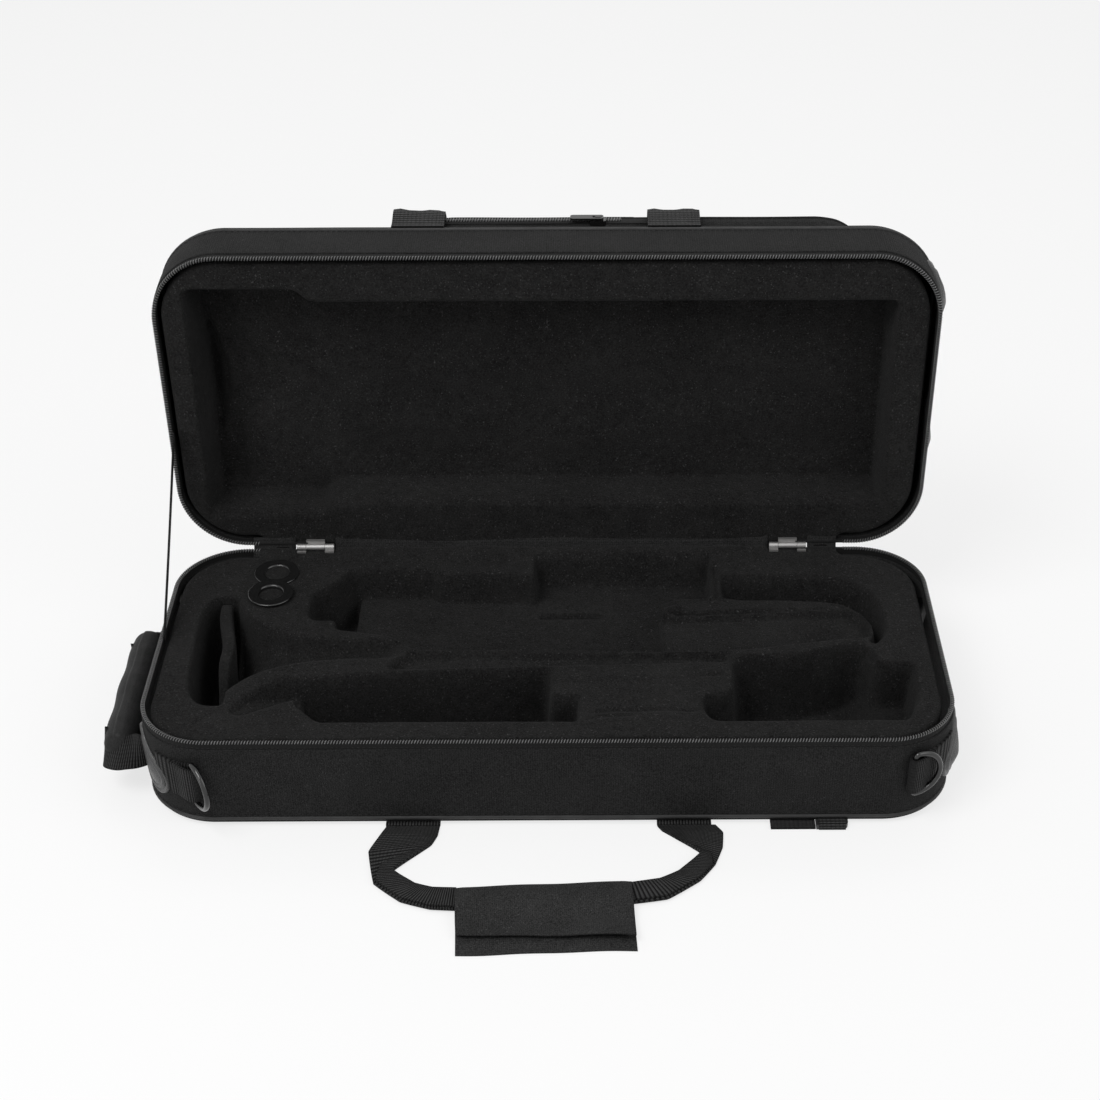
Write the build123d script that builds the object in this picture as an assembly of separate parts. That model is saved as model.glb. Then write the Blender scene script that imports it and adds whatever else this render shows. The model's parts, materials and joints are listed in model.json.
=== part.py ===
from build123d import *
import os
from math import asin, cos, hypot, radians, sin

os.makedirs("parts", exist_ok=True)

# The case lies on its base, with +X to its right, +Y to its hinges and +Z up.
# The origin is the middle of the base's flat underside, and sizes are in millimetres.

# Case
case_length = 560.0
case_depth = 235.0
corner_radius = 50.0
base_height = 73.5
lid_height = 62.0
closing_gap = 0.5
lid_open_angle = 91.7
skin = 3.0
base_edge_radius = 6.0
lid_edge_radius = 13.5
floor_thickness = 5.0

# Zip round the opening
tape_stand = 6.5
tape_thickness = 1.2
tape_inset = 1.2
tape_sewn_depth = 3.5
teeth_height = 2.2
teeth_width = 2.6
zip_end_inset = 58.0
tape_end_gap = 2.0

# Piping
piping_diameter = 3.0
piping_sunk = 0.3
base_piping_height = 6.5
lid_piping_height = 46.5

# Hinges
hinge_set_in = 0.5
hinge_end_inset = 100.0
hinge_width = 28.0
knuckle_diameter = 5.0
pin_diameter = 2.5
pin_clearance = 0.05
knuckle_gap = 0.25
leaf_thickness = 1.2
leaf_drop = 22.0
leaf_clearance = 0.3
rivet_diameter = 3.0
rivet_spacing = 16.0
rivet_head = 0.8

# Linings
lining_below_rim = 3.5
lining_lip_inset = 2.0
draft = 4.0
cavity_corner = 7.0
soft_edge = 2.0

# Bell of the instrument, which the linings are moulded round
bell_diameter = 123.0
bell_clearance = 1.0
bell_y = -7.0
bell_slot_left = -251.0
bell_slot_width = 23.0
bell_bow_x = 150.0
bell_tube_radius = 9.0

# Cavities in the base lining: heights of their floors
main_floor = 44.0
right_floor = 59.0
tuning_floor = 22.0
valve_floor = 40.0
bow_floor = 46.0
small_floor = 36.0
saddle_floor = 59.0
arm_floor = 52.0
left_box_floor = 16.0
right_box_floor = 14.0
right_step_floor = 34.0

# Main cavity outline
main_left = -186.0
main_right = 200.0
main_back = 93.0
main_front = -10.0
tuning_length = 50.0
tuning_front = 27.0
valve_left = -9.0
valve_right = 123.0
valve_back = 106.0
valve_front = 69.0
small_left = -1.0
small_right = 41.0
small_back = 43.0
small_front = 29.0
bow_centre_x = 203.0
bow_centre_y = 39.5
bow_outer_radius = 43.5
bow_inner_radius = 10.0
bow_ridge = 6.0
island_left = 88.0
cavity_overlap = 20.0

# Accessory boxes
box_front = -91.0
left_box_left = -163.0
left_box_right = 3.0
left_box_back = -22.0
left_box_notch_x = 24.0
left_box_notch_y = -61.0
arm_tip_x = -219.0
right_box_left = 131.0
right_box_right = 258.0
right_box_foot_x = 105.0
right_box_foot_y = -58.0
right_box_back = -15.0
right_box_peak_x = 222.0
right_box_peak_y = -1.0
right_step_x = 226.0

# Lid recess
recess_depth = 32.0
recess_left = -257.0
recess_right = 252.0
recess_half = 81.0
recess_wide_half = 91.5
recess_wide_right = -170.0
recess_chamfer = 11.0
recess_draft = 14.0

# Strip beside the bell's rim
rim_strip_thickness = 4.0
rim_strip_length = 104.0
rim_strip_y = 3.0
rim_strip_height = 46.0

# Mouthpiece holders
holder_x = -206.0
holder_back_y = 88.0
holder_pitch = 29.0
holder_flange_diameter = 34.0
holder_flange = 1.5
holder_bore = 18.0
holder_sleeve = 1.8
holder_depth = 34.0

# Lid stay ribbon
stay_width = 12.0
stay_thickness = 0.8
stay_gap = 0.4
stay_base_y = 2.0
stay_lid_reach = 96.0

# Fabric over the hinge line
binding_thickness = 1.0
binding_gap = 0.4
binding_past_hinge = 4.0

# Padded patches at the case's ends
left_patch_thickness = 3.6
right_patch_thickness = 7.0
left_patch_angle = 30.0
right_patch_angle = 10.0
patch_height = 40.0
patch_length = 52.0
patch_width = 27.0
patch_tip_radius = 5.0
patch_lean = 42.0
lid_patch_back = 37.0
lid_patch_front = -74.0

# End handle
grip_diameter = 26.0
grip_shortening = 5.0
grip_edge = 3.0
grip_gap = 6.0
end_webbing_past_corner = 16.0
grip_y = -13.0
end_webbing_width = 30.0
webbing_thickness = 1.7

# Strap rings at the front corners
ring_wire = 4.0
ring_inner_height = 30.0
ring_inner_depth = 15.6
ring_bend = 2.4
ring_gap = 0.6
left_ring_angle = 10.0
right_ring_angle = 20.0
left_ring_swing = 45.0
right_ring_swing = 0.0
left_ring_height = 41.0
right_ring_height = 44.0
left_strap_angle = 45.0
right_strap_angle = 60.0

# Carrying handles
handle_webbing_width = 37.5
handle_spacing = 187.0
handle_reach = 73.0
handle_folded_width = 19.0
handle_bend = 28.0
handle_hinge_clear = 1.5
handle_hinge_out = 3.4
handle_hinge_gap = 0.3
wrap_length = 118.0
wrap_width = 60.0
wrap_thickness = 8.0
wrap_fold_gap = 1.2
floor_gap = 0.2
fold_gap = 0.4
anchor_length = 60.0

# Underside strap and its buckle
strap_inset = 96.0
strap_length = 31.0
strap_reach_under = 20.0
strap_out = 7.0
buckle_width = 32.0
buckle_length = 22.0
buckle_thickness = 4.0

# Lid pocket
pocket_left = -106.0
pocket_right = 230.0
pocket_front = -110.0
pocket_back = 92.0
pocket_thickness = 12.0
pocket_corner = 26.0
pocket_zip_left = -74.0
pocket_zip_right = 53.0
pocket_zip_height = 5.5
chain_width = 5.0
chain_height = 1.6
slider_x = 36.0

# Zip sliders and pulls
slider_length = 12.0
slider_width = 8.0
slider_height = 4.4
slider_corner = 2.4
slider_gap = 0.3
eye_length = 4.4
eye_width = 2.2
eye_height = 2.2
pull_length = 24.0
pull_width = 7.0
pull_thickness = 1.4
pull_corner = 2.2
pull_clearance = 0.5
main_slider_past_end = 17.0
main_slider_drop = 4.0

# Worked-out places
half_length = case_length / 2
half_depth = case_depth / 2
hinge_spacing = case_length - 2 * hinge_end_inset
binding_length = hinge_spacing + 2 * binding_past_hinge
zip_end_x = half_length - zip_end_inset
main_slider_x = zip_end_x - main_slider_past_end
patch_thickness = {-1: left_patch_thickness, 1: right_patch_thickness}
patch_angle = {-1: left_patch_angle, 1: right_patch_angle}
ring_angle = {-1: left_ring_angle, 1: right_ring_angle}
ring_swing = {-1: left_ring_swing, 1: right_ring_swing}
ring_height = {-1: left_ring_height, 1: right_ring_height}
strap_angle = {-1: left_strap_angle, 1: right_strap_angle}
strap_end = half_length - strap_inset
grip_length = case_depth - 2 * corner_radius - grip_shortening
base_edge = base_height - tape_stand
hinge_y = half_depth + hinge_set_in
hinge_z = base_height + closing_gap / 2
lid_rim = base_height + closing_gap
lid_edge = lid_rim + tape_stand
lid_top = hinge_z + lid_height
lining_top = base_height - lining_below_rim
lid_lining_bottom = lid_rim + lining_below_rim
bell_radius = bell_diameter / 2 + bell_clearance
bell_z = floor_thickness + bell_radius
hinge_axis = Axis((0, hinge_y, hinge_z), (1, 0, 0))
front = -half_depth


def save(node, *solids):
    shapes = [solid for group in solids for solid in group.solids()]
    export_step(Compound(shapes) if len(shapes) > 1 else shapes[0], f"parts/{node}.step")
    return shapes


def outline(inset=0.0):
    return RectangleRounded(
        case_length - 2 * inset, case_depth - 2 * inset, corner_radius - inset
    )


def slab(inset, low, high):
    return extrude(Pos(0, 0, low) * outline(inset), high - low)


def band(outer_inset, inner_inset, low, high):
    return slab(outer_inset, low, high) - slab(inner_inset, low, high)


def block(x, y, z):
    size = (x[1] - x[0], y[1] - y[0], z[1] - z[0])
    return Pos(x[0], y[0], z[0]) * Box(*size, align=(Align.MIN,) * 3)


def rounded(points, radius):
    face = make_face(Polyline(*points, close=True))
    return fillet(face.vertices(), radius)


def sink(face, top, floor, angle=draft):
    """A cavity under an outline, which narrows towards its floor."""
    return extrude(Pos(0, 0, top) * face, floor - top, taper=angle)


def opened(shape):
    """Turns a piece of the lid from its closed place to its open one."""
    return shape.rotate(hinge_axis, -lid_open_angle)


def open_point(y, z):
    """Turns a point of the closed lid to its open place, as (y, z)."""
    turn = radians(-lid_open_angle)
    across, up = y - hinge_y, z - hinge_z
    return (
        hinge_y + across * cos(turn) - up * sin(turn),
        hinge_z + across * sin(turn) + up * cos(turn),
    )


def bell_form():
    """The bell's flare and its tube, as a solid round the X axis."""
    rim = bell_slot_left + bell_slot_width
    flare = Spline(
        (rim, bell_radius * 0.86),
        (rim + 16, bell_radius * 0.60),
        (rim + 52, bell_radius * 0.36),
        (rim + 130, bell_tube_radius),
        tangents=[(0.35, -1), (1, -0.04)],
    )
    sides = Polyline(
        flare @ 1, (bell_bow_x, bell_tube_radius), (bell_bow_x, 0), (rim, 0), flare @ 0
    )
    horn = revolve(make_face(flare + sides), Axis.X)
    disc = Pos(bell_slot_left, 0, 0) * extrude(
        Plane.YZ * Circle(bell_radius), bell_slot_width + soft_edge
    )
    return Pos(0, bell_y, bell_z) * (horn + disc)


def base_space():
    """The space inside the base's skin."""
    space = slab(skin, floor_thickness, base_edge)
    edge = space.edges().group_by(Axis.Z)[0]
    return fillet(edge, base_edge_radius - skin)


def lid_space():
    """The space inside the closed lid's skin."""
    space = slab(skin, lid_edge, lid_top - skin)
    edge = space.edges().group_by(Axis.Z)[-1]
    return fillet(edge, lid_edge_radius - skin)


def piping(height):
    """A cord round the case, sunk a little into its skin."""
    path = (Pos(0, 0, height) * outline(piping_sunk)).wires()[0]
    section = Plane(origin=path @ 0, z_dir=path % 0) * Circle(piping_diameter / 2)
    return sweep(section, path=path)


def behind_zip(reach, low, high):
    """The stretch of the back wall that the tape or the teeth leave free."""
    return block((-reach, reach), (half_depth - corner_radius, case_depth), (low, high))


def zip_half(low_edge, high_edge, teeth_low, teeth_high):
    """Tape and teeth on one side of the opening."""
    tape = band(tape_inset, tape_inset + tape_thickness, low_edge, high_edge)
    teeth = band(
        tape_inset - teeth_width / 2 + tape_thickness / 2,
        tape_inset + teeth_width / 2 + tape_thickness / 2,
        teeth_low,
        teeth_high,
    )
    tape -= behind_zip(binding_length / 2 + tape_end_gap, low_edge - 1, high_edge + 1)
    return tape, teeth - behind_zip(zip_end_x, teeth_low - 1, teeth_high + 1)


def knuckles(centre_x, ends):
    """The barrel of one leaf: its two ends, or its middle."""
    radius = knuckle_diameter / 2
    end = hinge_width / 4
    low = centre_x - hinge_width / 2
    if ends:
        spans = [(low, low + end - knuckle_gap), (low + 3 * end + knuckle_gap, low + 4 * end)]
    else:
        spans = [(low + end, low + 3 * end)]
    barrel = [
        Pos(a, hinge_y, hinge_z) * extrude(Plane.YZ * Circle(radius), b - a)
        for a, b in spans
    ]
    return barrel, spans


def hinge_leaf(centre_x, for_base):
    """A leaf behind the lining, bent over the rim to its knuckles."""
    barrel, spans = knuckles(centre_x, for_base)
    inner = half_depth - skin - leaf_thickness
    reach = base_edge + leaf_clearance
    leaf = block(
        (centre_x - hinge_width / 2, centre_x + hinge_width / 2),
        (inner, inner + leaf_thickness),
        (base_edge - leaf_drop, reach),
    )
    for a, b in spans:
        leaf += block((a, b), (inner, inner + leaf_thickness), (reach - 0.5, hinge_z - 1.2))
        leaf += block((a, b), (inner, hinge_y), (hinge_z - 2.4, hinge_z - 1.2))
    if not for_base:
        leaf = mirror(leaf, Plane.XY.offset(hinge_z))
    for piece in barrel:
        leaf += piece
    hole = pin_diameter / 2 + (0 if for_base else pin_clearance)
    bore = Pos(centre_x - hinge_width, hinge_y, hinge_z) * extrude(
        Plane.YZ * Circle(hole), 2 * hinge_width
    )
    return leaf - bore


def leaf_pocket(centre_x, for_base):
    """Room in the lining for a leaf and its bent end."""
    inner = half_depth - skin - leaf_thickness - leaf_clearance
    pocket = block(
        (
            centre_x - hinge_width / 2 - leaf_clearance,
            centre_x + hinge_width / 2 + leaf_clearance,
        ),
        (inner, half_depth),
        (base_edge - leaf_drop - leaf_clearance, hinge_z),
    )
    return pocket if for_base else mirror(pocket, Plane.XY.offset(hinge_z))


def rivets(centre_x, for_base):
    """Two rivets that hold a leaf to the back wall."""
    height = base_edge - leaf_drop * 0.6
    if not for_base:
        height = 2 * hinge_z - height
    low = half_depth - skin
    return [
        Pos(centre_x + side * rivet_spacing / 2, low, height)
        * extrude(Plane.XZ * Circle(rivet_diameter / 2), -(skin + rivet_head))
        for side in (-1, 1)
    ]


def main_cavity():
    """Everything that the body of the instrument lies in."""
    body = sink(
        rounded(
            [
                (main_left + 46, main_back),
                (main_left + 108, main_back),
                (main_left + 114, main_back - 8),
                (valve_left - 4, main_back - 8),
                (valve_left - 4, main_front),
                (main_left + 88, main_front),
                (main_left + 70, main_front + 20),
                (main_left + 20, main_front + 32),
                (main_left + 14, main_back - 24),
            ],
            cavity_corner * 0.7,
        ),
        lining_top,
        main_floor,
    )
    middle = sink(
        rounded(
            [
                (valve_left - cavity_overlap, main_back - 10),
                (valve_right + 2, main_back - 10),
                (valve_right + 2, bow_centre_y + 12),
                (island_left, bow_centre_y - 8),
                (island_left, main_front),
                (valve_left - cavity_overlap, main_front),
            ],
            cavity_corner * 0.6,
        ),
        lining_top,
        main_floor,
    )
    right = sink(
        rounded(
            [
                (island_left - cavity_overlap, bow_centre_y - 8),
                (bow_centre_x, bow_centre_y - 8),
                (bow_centre_x + 20, main_front + bow_ridge + 4),
                (main_right - 10, main_front + bow_ridge),
                (valve_right, main_front),
                (island_left - cavity_overlap, main_front),
            ],
            cavity_corner * 0.6,
        ),
        lining_top,
        right_floor,
    )
    tuning = sink(
        rounded(
            [
                (main_left, tuning_front),
                (main_left, main_back - 20),
                (main_left + tuning_length, main_back - 4),
                (main_left + tuning_length, tuning_front),
            ],
            cavity_corner * 2,
        ),
        lining_top,
        tuning_floor,
    )
    valves = sink(
        rounded(
            [
                (valve_left, valve_front),
                (valve_left, valve_back),
                (valve_right, valve_back),
                (valve_right, valve_front),
            ],
            cavity_corner / 2,
        ),
        lining_top,
        valve_floor,
    )
    small = sink(
        rounded(
            [
                (small_left, small_front),
                (small_left, small_back),
                (small_right, small_back),
                (small_right, small_front),
            ],
            cavity_corner / 2,
        ),
        main_floor + 1,
        small_floor,
    )
    return [body, middle, right, tuning, valves, small]


def bow_channel():
    """The round channel for the bell's bow."""
    ring = Circle(bow_outer_radius) - Circle(bow_inner_radius)
    right_half = Pos(bow_outer_radius, 0) * Rectangle(2 * bow_outer_radius, 3 * bow_outer_radius)
    bend = Pos(bow_centre_x, bow_centre_y) * (ring & right_half)
    channel_width = bow_outer_radius - bow_inner_radius
    leg_length = bow_centre_x - valve_right + 4
    leg = Pos(
        bow_centre_x - leg_length / 2, bow_centre_y + bow_inner_radius + channel_width / 2
    ) * Rectangle(leg_length, channel_width)
    return sink(bend + leg, lining_top, bow_floor)


def left_box():
    """The accessory box at the front left, with its curved arm."""
    box = sink(
        rounded(
            [
                (left_box_left - 8, left_box_back - 14),
                (left_box_left + 42, left_box_back - 4),
                (left_box_right, left_box_back),
                (left_box_right, left_box_notch_y),
                (left_box_notch_x, left_box_notch_y),
                (left_box_notch_x, box_front),
                (left_box_left, box_front),
                (left_box_left - 12, box_front + 22),
            ],
            cavity_corner * 0.8,
        ),
        lining_top,
        left_box_floor,
    )
    upper = Spline(
        (arm_tip_x, box_front + 10),
        (left_box_left - 44, box_front + 36),
        (left_box_left - 2, box_front + 57),
        (left_box_left + 50, left_box_back - 5),
    )
    lower = Polyline(
        upper @ 1,
        (left_box_left + 50, box_front + 40),
        (left_box_left - 8, box_front + 23),
        (left_box_left - 36, box_front + 14),
        upper @ 0,
    )
    arm = sink(make_face(upper + lower), lining_top, arm_floor, 0)
    return [box, arm]


def right_box():
    """The accessory box at the front right, deeper at its left."""
    shape = [
        (right_box_left, right_box_back - 2),
        (right_box_left + 58, right_box_back + 3),
        (right_box_peak_x, right_box_peak_y),
        (right_box_peak_x + 11, right_box_back - 3),
        (right_box_right, right_box_back - 12),
        (right_box_right, box_front),
        (right_box_foot_x, box_front),
        (right_box_foot_x, right_box_foot_y),
        (right_box_left, right_box_foot_y),
    ]
    box = sink(rounded(shape, cavity_corner * 0.7), lining_top, right_step_floor)
    deep_shape = rounded(shape, cavity_corner * 0.7) & (
        Pos(right_step_x - case_length / 2, 0) * Rectangle(case_length, case_depth)
    )
    deep = sink(deep_shape, lining_top, right_box_floor, draft / 4)
    return [box, deep]


def saddle():
    """The low ridge under the bell's tube."""
    return block(
        (main_left + 60, right_box_left - 3),
        (left_box_back + 1, main_front + 2),
        (saddle_floor, lining_top + 1),
    )


def holder_place(index):
    return Pos(holder_x - index, holder_back_y - index * holder_pitch, lining_top)


def base_lining():
    body = base_space() + slab(skin + lining_lip_inset, base_edge, lining_top)
    for cavity in [*main_cavity(), bow_channel(), *left_box(), *right_box(), saddle()]:
        body -= cavity
    body -= bell_form()
    for index in range(2):
        body -= holder_place(index) * Pos(0, 0, -holder_depth) * Cylinder(
            holder_bore / 2 + holder_sleeve,
            holder_depth + 1,
            align=(Align.CENTER, Align.CENTER, Align.MIN),
        )
    for side in (-1, 1):
        body -= leaf_pocket(side * hinge_spacing / 2, True)
    return body


def rim_strip():
    """The padded strip that stands in the slot for the bell's rim."""
    right = bell_slot_left + bell_slot_width
    top = lining_top - 1
    plate = block(
        (right - 2 * rim_strip_thickness, right - rim_strip_thickness),
        (rim_strip_y - rim_strip_length / 2, rim_strip_y + rim_strip_length / 2),
        (top - rim_strip_height, top),
    )
    plate = fillet(plate.edges().filter_by(Axis.X), rim_strip_thickness)
    return plate & (Pos(0, bell_y, bell_z) * Rot(0, 90, 0) * Cylinder(bell_radius, case_length))


def mouthpiece_holder(index):
    """A flanged ring; the front one's flange lies over the back one's."""
    lift = index * (holder_flange + 0.1)
    middle = (Align.CENTER, Align.CENTER, Align.MIN)
    flange = Pos(0, 0, lift) * Cylinder(holder_flange_diameter / 2, holder_flange, align=middle)
    sleeve = Pos(0, 0, -holder_depth) * Cylinder(
        holder_bore / 2 + holder_sleeve, holder_depth + lift + holder_flange, align=middle
    )
    bore = Pos(0, 0, -holder_depth - 1) * Cylinder(
        holder_bore / 2, holder_depth + 10, align=middle
    )
    return holder_place(index) * (flange + sleeve - bore)


def lid_recess():
    wide = rounded(
        [
            (recess_left, -recess_wide_half),
            (recess_wide_right, -recess_wide_half),
            (recess_wide_right + recess_chamfer, -recess_half),
            (recess_right, -recess_half),
            (recess_right, recess_half),
            (recess_wide_right + recess_chamfer / 2, recess_half),
            (recess_wide_right, recess_wide_half),
            (recess_left, recess_wide_half),
        ],
        cavity_corner / 2,
    )
    return extrude(Pos(0, 0, lid_lining_bottom) * wide, recess_depth, taper=recess_draft)


def lid_lining():
    body = lid_space() + slab(skin + lining_lip_inset, lid_lining_bottom, lid_edge)
    body -= lid_recess()
    body -= bell_form()
    for side in (-1, 1):
        body -= leaf_pocket(side * hinge_spacing / 2, False)
    return body


def teardrop():
    """A patch wide at its foot and narrow at its tip, which points up."""
    foot_radius = patch_width / 2
    middle = patch_length / 2
    foot = Pos(0, foot_radius - middle) * Circle(foot_radius)
    tip = Pos(0, middle - patch_tip_radius) * Circle(patch_tip_radius)
    return make_hull(foot.edges() + tip.edges())


def corner_patch(end, back):
    """A patch round a corner of the base, leaning with its tip to the case's end."""
    angle = radians(patch_angle[end])
    out = Vector(end * cos(angle), back * sin(angle), 0)
    centre = (
        end * (half_length - corner_radius),
        back * (half_depth - corner_radius),
        patch_height,
    )
    face = Plane(origin=centre, x_dir=(-out.Y, out.X, 0), z_dir=out)
    lean = -patch_lean * end * back
    solid = extrude(face * Rot(0, 0, -lean) * teardrop(), 2 * corner_radius)
    return band(-patch_thickness[end], 0, 0, base_height) & solid


def lid_patch(y):
    """A patch on the closed lid's right end, in line with the base's patches."""
    face = Plane(
        origin=(half_length - patch_thickness[1], y, 2 * hinge_z - patch_height),
        x_dir=(0, 1, 0),
        z_dir=(1, 0, 0),
    )
    solid = extrude(face * Rot(0, 0, 90) * teardrop(), patch_length)
    return band(-patch_thickness[1], 0, lid_rim, lid_rim + lid_piping_height - 2) & solid


def round_corner(side, angle, out):
    """A place on a front corner's wall, an angle round it from the front and standing out."""
    reach = corner_radius + out
    return Vector(
        side * (half_length - corner_radius + reach * sin(radians(angle))),
        corner_radius - half_depth - reach * cos(radians(angle)),
        ring_height[side],
    )


def corner_strap(side):
    """Webbing round a front corner, ending in a loop for its ring."""
    centre = ring_centre(side)
    end = round_corner(side, strap_angle[side], 0)
    half_width = ring_inner_height / 2 - 1
    strip = block(
        (min(centre.X, end.X), max(centre.X, end.X)),
        (-case_depth, corner_radius - half_depth),
        (ring_height[side] - half_width, ring_height[side] + half_width),
    )
    wall = band(-webbing_thickness, 0, 0, base_edge) & strip
    loop_radius = ring_wire / 2 + ring_gap / 2
    tube = Circle(loop_radius + webbing_thickness) - Circle(loop_radius)
    loop = Pos(*centre) * extrude(tube, half_width, both=True)
    return wall + (loop - slab(0, -1, base_height)) - corner_patch(side, -1)


def ring_centre(side):
    loop = ring_wire / 2 + ring_gap / 2 + webbing_thickness
    return round_corner(side, ring_angle[side], loop)


def ring_plane(side):
    """Along the wall where a ring hangs, swung out from it; the bow points to the right."""
    turn = radians(side * ring_angle[side] - ring_swing[side])
    return Plane(
        origin=ring_centre(side), x_dir=(cos(turn), sin(turn), 0), z_dir=(sin(turn), -cos(turn), 0)
    )


def strap_ring(side):
    """A wire ring with a straight bar and a round bow."""
    half = ring_inner_height / 2 + ring_wire / 2
    depth = ring_inner_depth + ring_wire
    bow = Pos(depth - half, 0) * Circle(half) & Pos(depth / 2, 0) * Rectangle(depth, 2 * half)
    bow += Pos((depth - half) / 2, 0) * Rectangle(depth - half, 2 * half)
    bow = fillet(bow.vertices().group_by(Axis.X)[0], ring_bend)
    path = bow.wires()[0]
    section = Plane(origin=path @ 0, z_dir=path % 0) * Circle(ring_wire / 2)
    ring = sweep(section, path=path)
    return ring_plane(side) * ring


def handle_band():
    """The middle of a handle's folded webbing, in its own plane."""
    outer = handle_spacing / 2 + handle_webbing_width / 2
    mid = handle_reach
    return FilletPolyline(
        (-outer, 0.36 * mid),
        (-outer + 2, 0.68 * mid),
        (-wrap_length / 2 - 3, mid + 1.5),
        (wrap_length / 2 + 3, mid + 1.5),
        (outer - 2, 0.66 * mid),
        (outer - 1, 0.34 * mid),
        radius=[handle_bend, 2 * handle_bend, 2 * handle_bend, handle_bend],
    )


def handle_webbing():
    """Webbing flat at its ends and folded double in between; its hinge is at v = 0."""
    edge_in = handle_spacing / 2 - handle_webbing_width / 2
    edge_out = handle_spacing / 2 + handle_webbing_width / 2
    flat = make_face(
        Polyline(
            (edge_in, 0),
            (edge_out, 0),
            (edge_out + 4, 0.11 * handle_reach),
            (edge_out + handle_folded_width / 2, 0.36 * handle_reach),
            (edge_out - handle_folded_width / 2, 0.6 * handle_reach),
            (edge_in + 6, 0.25 * handle_reach),
            close=True,
        )
    )
    folded = trace(handle_band(), handle_folded_width)
    solid = extrude(Pos(0, 0, webbing_thickness) * folded, 2 * webbing_thickness)
    solid += extrude(flat, webbing_thickness) + extrude(mirror(flat, Plane.YZ), webbing_thickness)
    for x in (-edge_out, edge_in):
        end = Pos(x, 0, webbing_thickness / 2) * extrude(
            Plane.YZ * Circle(webbing_thickness / 2), handle_webbing_width
        )
        solid += end
    return solid


def handle_wrap():
    """A cloth sleeve folded round the webbing, with its two flaps lying together."""
    back = handle_reach - handle_folded_width / 2 - 2 * webbing_thickness
    free = back + wrap_width
    short = free - 11
    inner = handle_reach + handle_folded_width / 2 + 3
    low = webbing_thickness
    lower = Polyline(
        (back + 3, 0),
        (free, 0),
        (free, low),
        (inner, low),
        (short, low + wrap_fold_gap),
        (short, low + wrap_fold_gap + 2 * webbing_thickness),
    )
    crown = Spline(
        lower @ 1,
        (inner + 6, wrap_thickness - 1),
        (handle_reach, wrap_thickness),
        (back + 2, wrap_thickness * 0.75),
        (back, wrap_thickness * 0.4),
        lower @ 0,
    )
    profile = make_face(lower + crown)
    sleeve = extrude(Plane.YZ * profile, wrap_length / 2, both=True)
    return sleeve - handle_webbing()


def base_handle_place():
    """From a handle's own plane to the floor in front of the case."""
    return Pos(0, front - handle_hinge_out, floor_gap) * Rot(0, 0, 180)


def lid_handle_place():
    """From a handle's own plane to where it hangs behind the open lid."""
    y, z = open_point(
        pocket_front - webbing_thickness / 2, lid_top + pocket_thickness + handle_hinge_clear
    )
    return Pos(0, y - webbing_thickness / 2, z) * Rot(-90, 0, 0)


def handle_anchor_strips():
    """Webbing let into the underside, up to the front handle."""
    strips = []
    end = front - handle_hinge_out + webbing_thickness / 2 + handle_hinge_gap
    for side in (-1, 1):
        x = side * handle_spacing / 2
        strips.append(
            block(
                (x - handle_webbing_width / 2, x + handle_webbing_width / 2),
                (end, front + anchor_length),
                (0, webbing_thickness),
            )
        )
    return strips


def underside_strap():
    """Webbing let into the underside, which shows at the front edge."""
    return block(
        (strap_end - strap_length, strap_end),
        (front - strap_out, front + strap_reach_under),
        (0, webbing_thickness),
    )


def strap_buckle():
    """A ladder lock at the strap's end."""
    low = strap_end + fold_gap
    frame = block(
        (low, low + buckle_length),
        (front - strap_out, front - strap_out + buckle_width),
        (0, buckle_thickness),
    )
    slot_length = buckle_width - 8
    for place in (5, 10.5, 16):
        frame -= Pos(low + place, front - strap_out + buckle_width / 2, 0) * Box(
            2.6, slot_length, 4 * buckle_thickness
        )
    return fillet(frame.edges().filter_by(Axis.Z).group_by(Axis.X)[-1], 4)


def grip_centre():
    x = -half_length - grip_gap - grip_diameter / 2
    return Vector(x, grip_y, base_height / 2 - 2)


def end_grip():
    """The padded roll of the end handle."""
    centre = grip_centre()
    roll = Plane.XZ * Circle(grip_diameter / 2)
    solid = Pos(*centre) * extrude(roll, grip_length / 2, both=True)
    return fillet(solid.edges().filter_by(GeomType.CIRCLE), grip_edge)


def end_webbing():
    """Webbing from under each end patch to the roll."""
    centre = grip_centre()
    straps = []
    for side in (-1, 1):
        roll_end = centre.Y + side * (grip_length / 2 + fold_gap)
        wall_y = side * (half_depth - corner_radius + end_webbing_past_corner)
        path = FilletPolyline(
            (-half_length + 2.2, wall_y),
            (-half_length - 8, wall_y + side * 1.5),
            (centre.X, roll_end + side * 9),
            (centre.X, roll_end),
            radius=4,
        )
        strap = extrude(trace(path, webbing_thickness), end_webbing_width / 2, both=True)
        strap = Pos(0, 0, centre.Z) * strap - slab(0, 0, base_height)
        straps.append((strap - corner_patch(-1, side)).solids().sort_by(Axis.X)[0])
    return straps


def stay_ribbon():
    """A flat ribbon from the base's rim to the open lid's rim, at the left."""
    x = -half_length + tape_inset + tape_thickness / 2 + teeth_width / 2 + stay_gap
    y, z = open_point(hinge_y - stay_lid_reach, lid_rim + lining_below_rim / 2)
    foot_z = base_height - lining_below_rim / 2
    run = hypot(y - stay_base_y, z - foot_z)
    lean = asin((z - foot_z) / run)
    face = Plane(
        origin=(x, stay_base_y, foot_z), x_dir=(0, cos(lean), sin(lean)), z_dir=(1, 0, 0)
    )
    return extrude(face * Pos(run / 2, 0) * Rectangle(run, stay_width), stay_thickness)


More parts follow.
